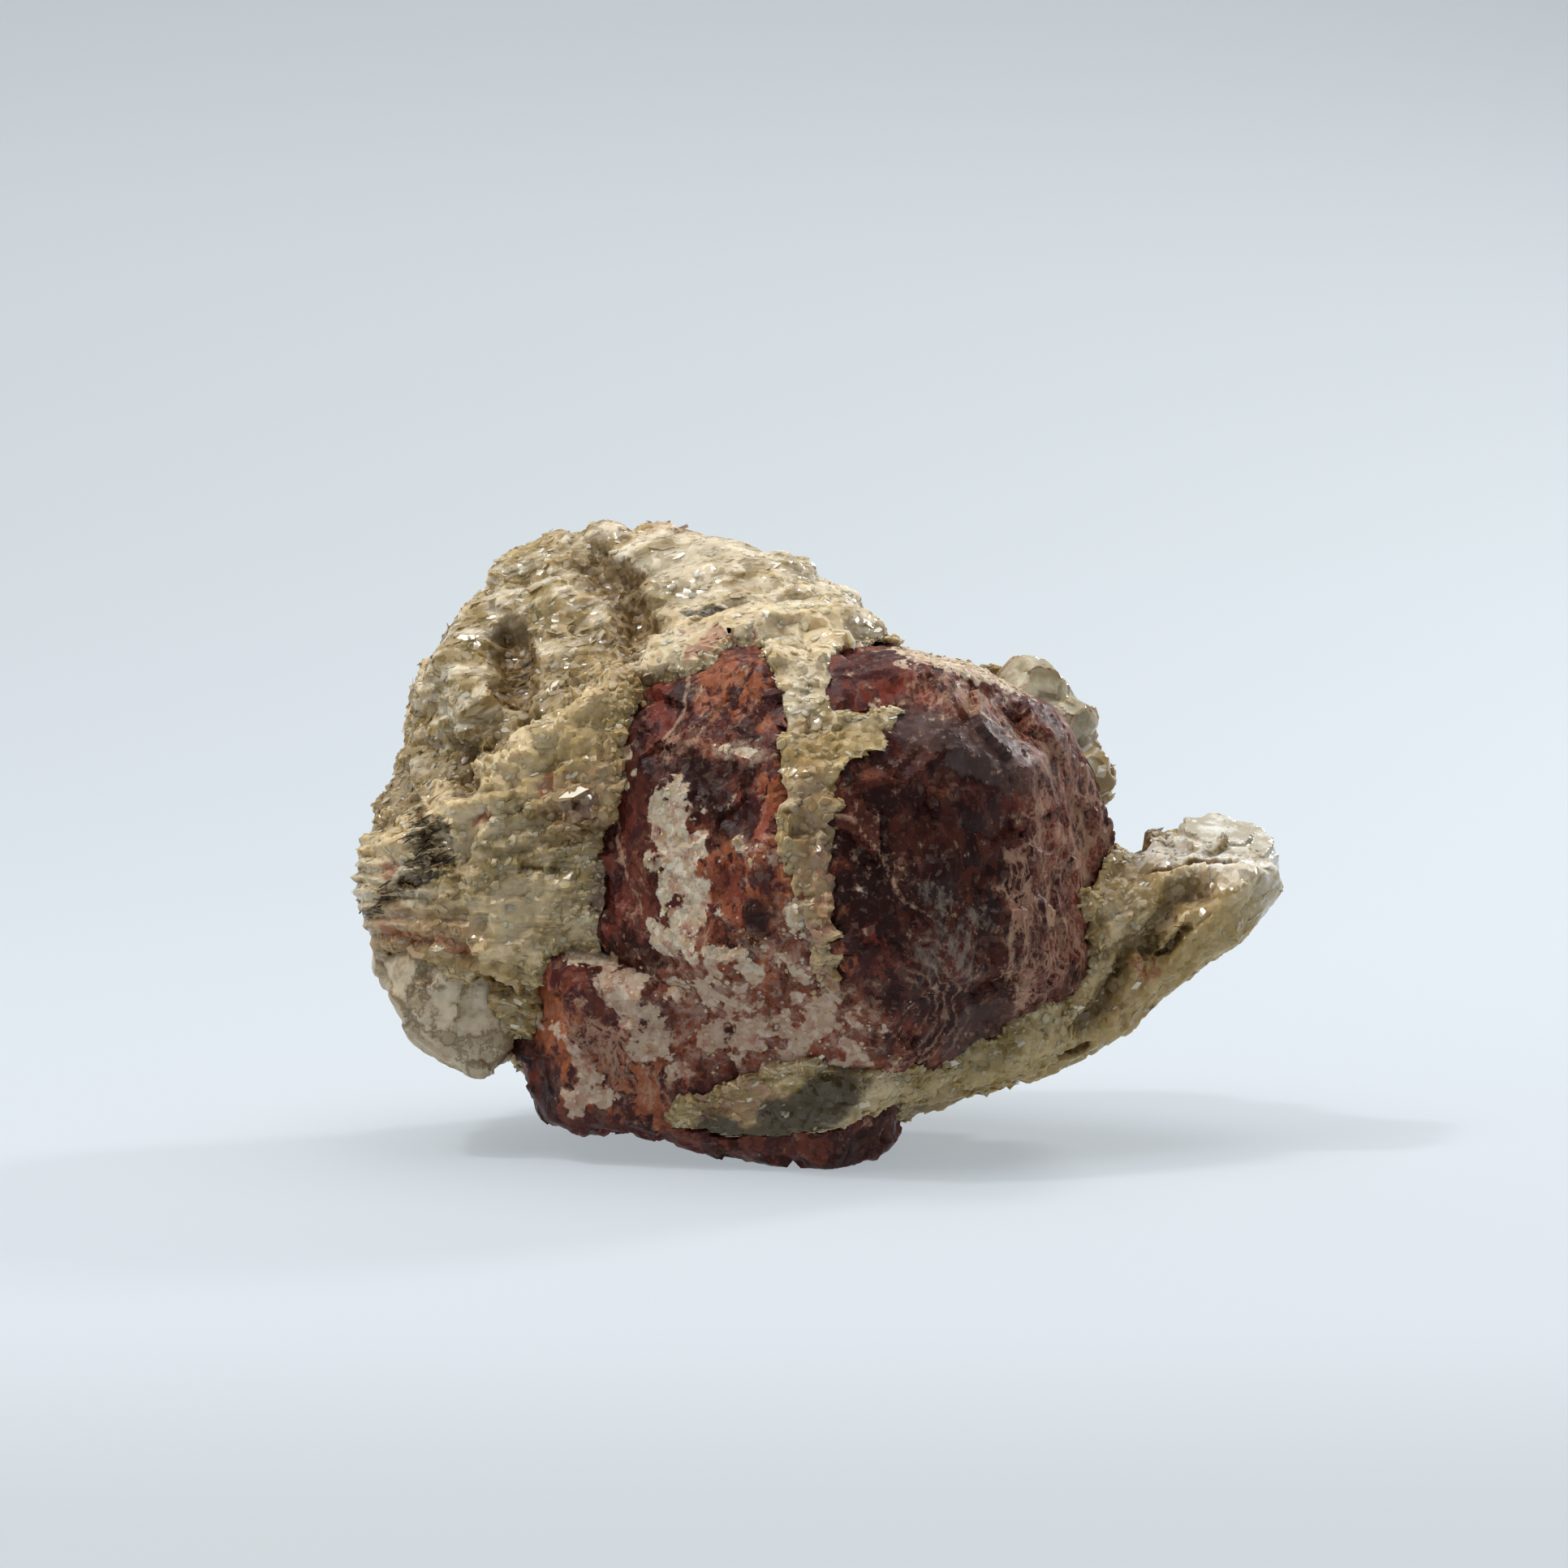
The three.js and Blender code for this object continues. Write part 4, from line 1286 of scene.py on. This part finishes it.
def schist_colour(graph, place):
    """The colour of the rock at a place, before the tone of each flake or grain."""
    fray = (graph.noise(place, 0.9, detail=5, roughness=0.6) - 0.5) * 1.1
    broad = graph.noise(place, 4.0, detail=4, roughness=0.6)
    strands = streaks(graph, place, 2.6, 0.6, detail=5, roughness=0.6)

    def zone(name, reach, low, high):
        return (painted(graph, name) + fray * reach).step(low, high)

    body = graph.mix((broad * 0.5 + strands * 0.5).step(0.40, 0.58), OLIVE_BEIGE, BEIGE)
    body = graph.mix(strands.step(0.52, 0.66) * 0.8, body, CREAM)
    behind = place.part("Y").step(1.0, 5.0)
    bands = streaks(graph, place, 9.0, 2.2, detail=4, roughness=0.6)
    rust = (graph.noise(place, 5.0, detail=5) + fray * 0.1).step(0.58, 0.66)
    body = graph.mix(behind * bands.step(0.54, 0.64) * 0.6, body, CHALK)
    body = graph.mix(behind * (1 - bands.step(0.36, 0.46)) * 0.6, body, BROWN)
    body = graph.mix(behind * rust * 0.3, body, RUSTY)
    body = graph.mix(zone("silvery", 1.0, 0.0, 0.8) * strands.step(0.44, 0.60) * 0.45, body, SILVER)
    body = graph.mix(zone("olive", 1.0, 0.2, 0.9) * 0.8, body, OLIVE_BEIGE)
    body = graph.mix(zone("vein", 0.5, 0.2, 0.5) * (1 - strands.step(0.5, 0.6)) * 0.7, body, BEIGE)
    bright = zone("bright", 1.0, 0.05, 0.7) * strands.step(0.34, 0.54)
    body = graph.mix(bright * 0.46, body, PALE_CREAM)
    # The ridge is painted lighter: partly its pale mica and partly a painted highlight where it
    # catches the light.
    body = graph.mix(zone("ridge", 1.0, 0.3, 0.9) * 0.5, body, CREAM)
    body = graph.mix(zone("white", 1.0, 0.3, 0.7) * broad.step(0.35, 0.6) * 0.7, body, CHALK)
    body = graph.mix(zone("sugary", 1.0, 0.2, 0.8) * broad.step(0.42, 0.54) * 0.52, body, CREAM)
    body = graph.mix(zone("tan", 1.0, 0.1, 0.9) * 0.75, body, TAN)
    body = graph.mix(zone("rosy", 0.8, 0.2, 0.8) * fray.step(-0.05, 0.08) * 0.7, body, ROSE)
    body = graph.mix(zone("glassy", 0.8, 0.15, 0.5) * 0.92, body, DARK_OLIVE)
    body = graph.mix(zone("snowy", 0.8, 0.1, 0.7) * strands.step(0.34, 0.50) * 0.9, body, SNOW)
    body = graph.mix(zone("smoky", 0.6, 0.2, 0.7) * 0.8, body, SMOKE)
    maroon = zone("maroon", 1.0, 0.2, 0.8) * broad.step(0.38, 0.5)
    body = graph.mix(maroon * 0.8, body, PURPLE_BROWN)
    body = graph.mix(zone("golden", 1.0, 0.1, 0.9) * 0.68, body, GOLD)
    # Painted shade: the tail's crevices are painted brown, darker than their depth alone would make
    # them.
    body = graph.mix(zone("crevices", 0.6, 0.2, 0.7) * 0.9, body, BROWN)
    body = graph.mix(zone("stained", 0.6, 0.3, 0.6) * 0.7, body, RUSTY)
    dark_strands = (1 - strands.step(0.50, 0.60)) * 0.95
    body = graph.mix(zone("biotite", 0.8, 0.1, 0.5) * dark_strands, body, NEAR_BLACK)
    # The hollows are painted brown: partly the brown grains in them and partly painted shade in the
    # pits.
    body = graph.mix(zone("hollow", 0.7, 0.2, 0.7) * 0.95, body, BROWN)
    # Painted shade: the low places of the relief are painted browner and darker.
    shade_in_low_places = 1 - painted(graph, "height").step(-0.5, 0.15)
    return graph.mix(shade_in_low_places * 0.5, body, BROWN)


# %% [markdown]
# Light goes a little way into mica and quartz before it comes out again, which softens the shadows
# between them. Subsurface scattering gives that glow. The rock itself also glitters: each small
# cell gets a normal of its own, and some cells are shinier than the rest.

# %% The schist's material
GLOW = {
    "Subsurface_Weight": 0.6,
    "Subsurface_Radius": (1.0, 0.8, 0.5),
    "Subsurface_Scale": 0.8 * MM,
}
mica_schist, graph, bsdf, place = new_material("mica schist", IOR=1.55, **GLOW)
sugar = graph.cells(place, 0.45, "Color").part("X")
not_glassy_skin = (1 - painted(graph, "glassy")).step(0.5, 1.0)
body = schist_colour(graph, place)
body = graph.mix(sugar.step(0.5, 0.95) * not_glassy_skin * 0.25, body, CREAM)
glitter = graph.cells(place, 0.35, "Color")
shiny = glitter.part("Y").above(0.6)
normal = graph.add("ShaderNodeNewGeometry", {}, {}, "Normal")
facing = (normal + (glitter - 0.5) * 0.7).unit()
feed(graph, bsdf, Base_Color=body, Roughness=0.60 - shiny * 0.4, Normal=facing)
dress(schist, mica_schist)

# %% [markdown]
# ## Mica
#
# Muscovite is a clear, glossy sheet. A flake lies so close to the rock that glass with its slow
# light paths would gain nothing, so the flakes are partly see-through by their Alpha and have a low
# roughness. The tone of each flake makes most of them blend in and a few of them silvery.

# %% The mica's flakes


def off_the_tan(graph):
    """0.4 on the tan marks, where the mica is stained, and 1 elsewhere."""
    return 1 - painted(graph, "tan").step(0.1, 0.7) * 0.6


muscovite, graph, bsdf, place = new_material("muscovite", IOR=1.6, Alpha=0.7)
tone = painted(graph, "tone")
clean = off_the_tan(graph)
body = schist_colour(graph, place)
# The pale and silvery flakes are partly the mica's own colour and partly painted glints: a light
# colour that looks bright from every side.
body = graph.mix(tone.step(0.0, 0.9) * clean * 0.35, body, PALE_CREAM)
body = graph.mix(tone.step(0.74, 0.78) * clean * 0.8, body, SILVER)
metallic = tone.step(0.5, 1.0) * 0.15
feed(graph, bsdf, Base_Color=body, Metallic=metallic, Roughness=0.12 + tone * 0.16)
dress(mica_flakes, muscovite)

# %% The mica's plates
plate_mica, graph, bsdf, place = new_material("mica plates", IOR=1.6, Alpha=0.65)
tone = painted(graph, "tone")
body = graph.mix(tone * 0.5, schist_colour(graph, place), CREAM)
# Painted glints: a few plates are pale all over, so that they look bright from every side.
body = graph.mix(tone.above(0.88) * 0.85, body, PALE_CREAM)
feed(graph, bsdf, Base_Color=body, Metallic=tone * 0.1, Roughness=0.15 + tone * 0.2)
dress(mica_plates, plate_mica)

# %% The mica book, grey above and silvery below
BOOK_GREY = (0.38, 0.33, 0.23)
BOOK_SLOPE = 0.23
book_mica, graph, bsdf, place = new_material("mica book", IOR=1.6)
stripe = graph.noise(place * (0.5, 1.0, 2.0), 0.8, detail=4)
frayed = (graph.noise(place, 1.0, detail=4) - 0.5) * 1.2
upper = (place.part("Z") + place.part("X") * BOOK_SLOPE + frayed).step(20.7, 21.3)
patches = graph.noise(place, 1.4, detail=5, roughness=0.7)
# The book's silvery white is partly its own silver and partly a painted highlight.
body = graph.mix(stripe.step(0.40, 0.60), SILVER, SNOW)
body = graph.mix(patches.step(0.48, 0.60) * 0.6, body, BEIGE)
body = graph.mix(upper * (0.4 + patches.step(0.36, 0.56) * 0.55), body, BOOK_GREY)
feed(graph, bsdf, Base_Color=body, Roughness=0.2 + stripe * 0.3)
dress(mica_book, book_mica)

# %% The dark mica
BLACK_MICA = (0.035, 0.020, 0.006)
BRONZE_MICA = (0.26, 0.16, 0.055)
biotite, graph, bsdf, place = new_material("biotite", IOR=1.6, Specular_IOR_Level=0.25)
tone = painted(graph, "tone")
body = graph.mix(tone.step(0.5, 1.0), BLACK_MICA, BRONZE_MICA)
feed(graph, bsdf, Base_Color=body, Roughness=0.45 + tone * 0.25)
dress(biotite_flakes, biotite)

# %% [markdown]
# ## Quartz
#
# The white lump is milky, with a few brown splits. The strewn grains take the schist's colours and
# its glow, and the crust's grains are drier. The grey grains at the upper right let some light
# through, and are stained golden where the schist begins, with silver flecks there that are partly
# mica and partly painted highlights.

# %% The white lump's milky look
QUARTZ_SHADE = (0.36, 0.265, 0.145)
QUARTZ_LIGHT = (0.58, 0.475, 0.335)
MILKY = {
    "Subsurface_Weight": 0.3,
    "Subsurface_Radius": (1.0, 0.9, 0.7),
    "Subsurface_Scale": 1.0 * MM,
}
white_quartz, graph, bsdf, place = new_material("white quartz", IOR=1.54, **MILKY)
fine = graph.noise(place, 1.0, detail=5, roughness=0.65)
split = graph.cells(place + (fine - 0.5) * 3.0, 4.0, "Distance", feature="DISTANCE_TO_EDGE")
stain = graph.noise(place, 2.6, detail=5, roughness=0.7)
body = graph.mix(fine.step(0.35, 0.6), QUARTZ_SHADE, QUARTZ_LIGHT)
body = graph.mix((1 - split.step(0.0, 0.06)) * 0.75, body, BROWN)
body = graph.mix(stain.step(0.54, 0.64) * 0.5, body, TAN)
facing = bump(graph, graph.noise(place, 0.4), 0.5, 0.1)
feed(graph, bsdf, Base_Color=body, Roughness=0.35 + fine * 0.3, Normal=facing)
dress(white_lump, white_quartz)

# %% The strewn grains
grain_quartz, graph, bsdf, place = new_material("grain quartz", IOR=1.54, **GLOW)
tone = painted(graph, "tone")
clean = off_the_tan(graph)
body = graph.mix(tone.step(0.1, 1.0) * clean * 0.45, schist_colour(graph, place), CHALK)
feed(graph, bsdf, Base_Color=body, Roughness=0.25 + tone * 0.3)
dress(quartz_grains, grain_quartz)
dress(border_grains, grain_quartz)

# %% The crust's grains
crust_quartz, graph, bsdf, place = new_material("crust quartz", IOR=1.54)
tone = painted(graph, "tone")
body = graph.mix(tone.step(0.0, 0.6), BEIGE, CRUST_WHITE)
body = graph.mix(tone.above(0.88) * 0.6, body, ROSE)
body = graph.mix((1 - place.part("Z").step(*FOOT)) * 0.4, body, ROSE)
feed(graph, bsdf, Base_Color=body, Roughness=0.3 + tone * 0.3)
dress(crust_grains, crust_quartz)

# %% The grey grains' glassy look
GREY_SHADE = (0.34, 0.275, 0.155)
GREY_LIGHT = (0.60, 0.53, 0.38)
GLASSY_GLOW = {"Transmission_Weight": 0.2, "Subsurface_Weight": 0.3, "Subsurface_Scale": 1.2 * MM}
grey_glass, graph, bsdf, place = new_material("grey quartz", IOR=1.54, **GLASSY_GLOW)
cloud = graph.noise(place, 1.6, detail=4)
lower = 1 - place.part("Z").step(20.0, 24.0)
gilded = graph.noise(place, 1.2, detail=4).step(0.42, 0.52)
# Silver flecks low on the grains: partly mica and partly painted highlights.
silvered = graph.cells(place, 0.7, "Color").part("X").above(0.82)
body = graph.mix(cloud.step(0.35, 0.65), GREY_SHADE, GREY_LIGHT)
body = graph.mix(lower * gilded * 0.7, body, GOLD)
body = graph.mix(silvered * lower * 0.8, body, SILVER)
feed(graph, bsdf, Base_Color=body, Roughness=0.16 + cloud * 0.2)
dress(grey_grains, grey_glass)

# %% [markdown]
# ## Joining the frame
#
# A stone has no moving parts, so every piece rides on the root. Five pieces take the place of a
# solid, and what is strewn takes no solid's place. Edges sharper than the angle below stay sharp,
# and the rest of the skin is shaded smooth.

# %% Every piece rides on the root
SHARP = 24
PIECES = {
    garnet: ["garnet_crystal"],
    schist: ["schist_matrix"],
    white_lump: ["quartz_lump"],
    grey_grains: ["grey_quartz"],
    mica_book: ["muscovite_book"],
    mica_flakes: [],
    mica_plates: [],
    quartz_grains: [],
    border_grains: [],
    biotite_flakes: [],
    crust_grains: [],
}
for piece, nodes in PIECES.items():
    select_only(piece)
    bpy.ops.object.shade_smooth_by_angle(angle=math.radians(SHARP))
    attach(piece, "root")
    if nodes:
        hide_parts(*nodes)
print("the stone has", sum(triangles(piece) for piece in PIECES), "triangles")

# %% [markdown]
# ## Floor, light and camera
#
# The stone stands on a sheet that curves up behind it, so that no horizon shows. Light strong
# enough to make the sheet as pale as it should be would bleach the stone, so the sheet gives off
# some light itself. Its colours change from the front to the back and from the foot to the top, a
# little at a time.

# %% The floor
FLOOR_WIDTH = 1.6
FLOOR_BACK = 0.5
FLOOR_FRONT = -0.8
WALL_HEIGHT = 0.9
CURVE_RADIUS = 0.4
bpy.ops.object.select_all(action="DESELECT")
bpy.ops.mesh.primitive_plane_add(size=FLOOR_WIDTH)
floor = bpy.context.object
floor.name = "floor"
for corner in floor.data.vertices:
    corner.co.y = FLOOR_BACK if corner.co.y > 0 else FLOOR_FRONT
select_only(floor)
bpy.ops.object.mode_set(mode="EDIT")
bpy.ops.mesh.select_mode(type="EDGE")
bpy.ops.mesh.select_all(action="DESELECT")
bpy.ops.object.mode_set(mode="OBJECT")
for edge in floor.data.edges:
    edge.select = all(floor.data.vertices[v].co.y > 0 for v in edge.vertices)
bpy.ops.object.mode_set(mode="EDIT")
bpy.ops.mesh.extrude_region_move(TRANSFORM_OT_translate={"value": (0.0, 0.0, WALL_HEIGHT)})
bpy.ops.object.mode_set(mode="OBJECT")
curve = floor.modifiers.new("curve", "BEVEL")
curve.width = CURVE_RADIUS
curve.segments = 16
bpy.ops.object.modifier_apply(modifier=curve.name)
bpy.ops.object.shade_smooth()
print("the floor is", floor.dimensions.x, "m wide and", floor.dimensions.z, "m high")

# %% The floor's colours
NEAR_EDGE = (0.212, 0.231, 0.243)
MIDDLE = (0.245, 0.266, 0.284)
WALL_FOOT = (0.243, 0.264, 0.2775)
WALL_TOP = (0.214, 0.233, 0.246)
backdrop, graph, bsdf, place = new_material("backdrop", Roughness=0.9, Emission_Strength=1.44)
table = graph.mix(place.part("Y").step(-90.0, -50.0), NEAR_EDGE, MIDDLE)
table = graph.mix(place.part("Z").step(0.0, 40.0), table, WALL_FOOT)
table = graph.mix(place.part("Z").step(60.0, 120.0), table, WALL_TOP)
feed(graph, bsdf, Base_Color=table, Emission_Color=table)
floor.data.materials.append(backdrop)
print("the floor is staged, with", len(graph.tree.nodes), "nodes")

# %% [markdown]
# A large window on the left and a larger light above give soft shadows. A small light from behind
# draws the right edge, and a very small one from the front makes the mica glitter: the smaller the
# light, the sharper the glints.

# %% Lights
LIT_POINT = (0, 0, 0.015)


def area_light(name, at, size, power, tint=(1.0, 1.0, 1.0)):
    """A soft light that looks at the stone. Place and size are in metres, and power is in watts."""
    light = bpy.data.lights.new(name, "AREA")
    light.size = size
    light.energy = power
    light.color = tint
    lamp = bpy.data.objects.new(name, light)
    lamp.location = at
    lamp.rotation_euler = (Vector(LIT_POINT) - Vector(at)).to_track_quat("-Z", "Y").to_euler()
    bpy.context.scene.collection.objects.link(lamp)
    print(name, "light of", power, "W")


area_light("window", (-0.20, -0.12, 0.36), 0.20, 0.55, (1.0, 0.97, 0.92))
area_light("top", (0.03, 0.06, 0.42), 0.40, 1.15)
area_light("rim", (0.20, 0.20, 0.20), 0.05, 0.5)
area_light("spark", (-0.16, -0.05, 0.30), 0.03, 0.35)

# %% The light of the room
world = bpy.data.worlds.new("studio")
world.use_nodes = True
room = world.node_tree.nodes["Background"]
room.inputs["Color"].default_value = (0.80, 0.85, 0.88, 1.0)
room.inputs["Strength"].default_value = 0.34
bpy.context.scene.world = world
bpy.context.scene.view_settings.view_transform = "Standard"
print("the room's light has a strength of", round(room.inputs["Strength"].default_value, 2))

# %% Camera
LENS = 97.6
SENSOR = 36.0
CAMERA_AT = (-0.0020, -0.2284, 0.0339)
LOOKING_DOWN = 3.65
camera_data = bpy.data.cameras.new("camera")
camera_data.sensor_width = SENSOR
camera_data.lens = LENS
camera = bpy.data.objects.new("camera", camera_data)
camera.location = CAMERA_AT
camera.rotation_euler = (math.radians(90 - LOOKING_DOWN), 0.0, 0.0)
bpy.context.scene.collection.objects.link(camera)
bpy.context.scene.camera = camera
print("the camera is", round(-camera.location.y / MM), "mm in front of the stone's middle")
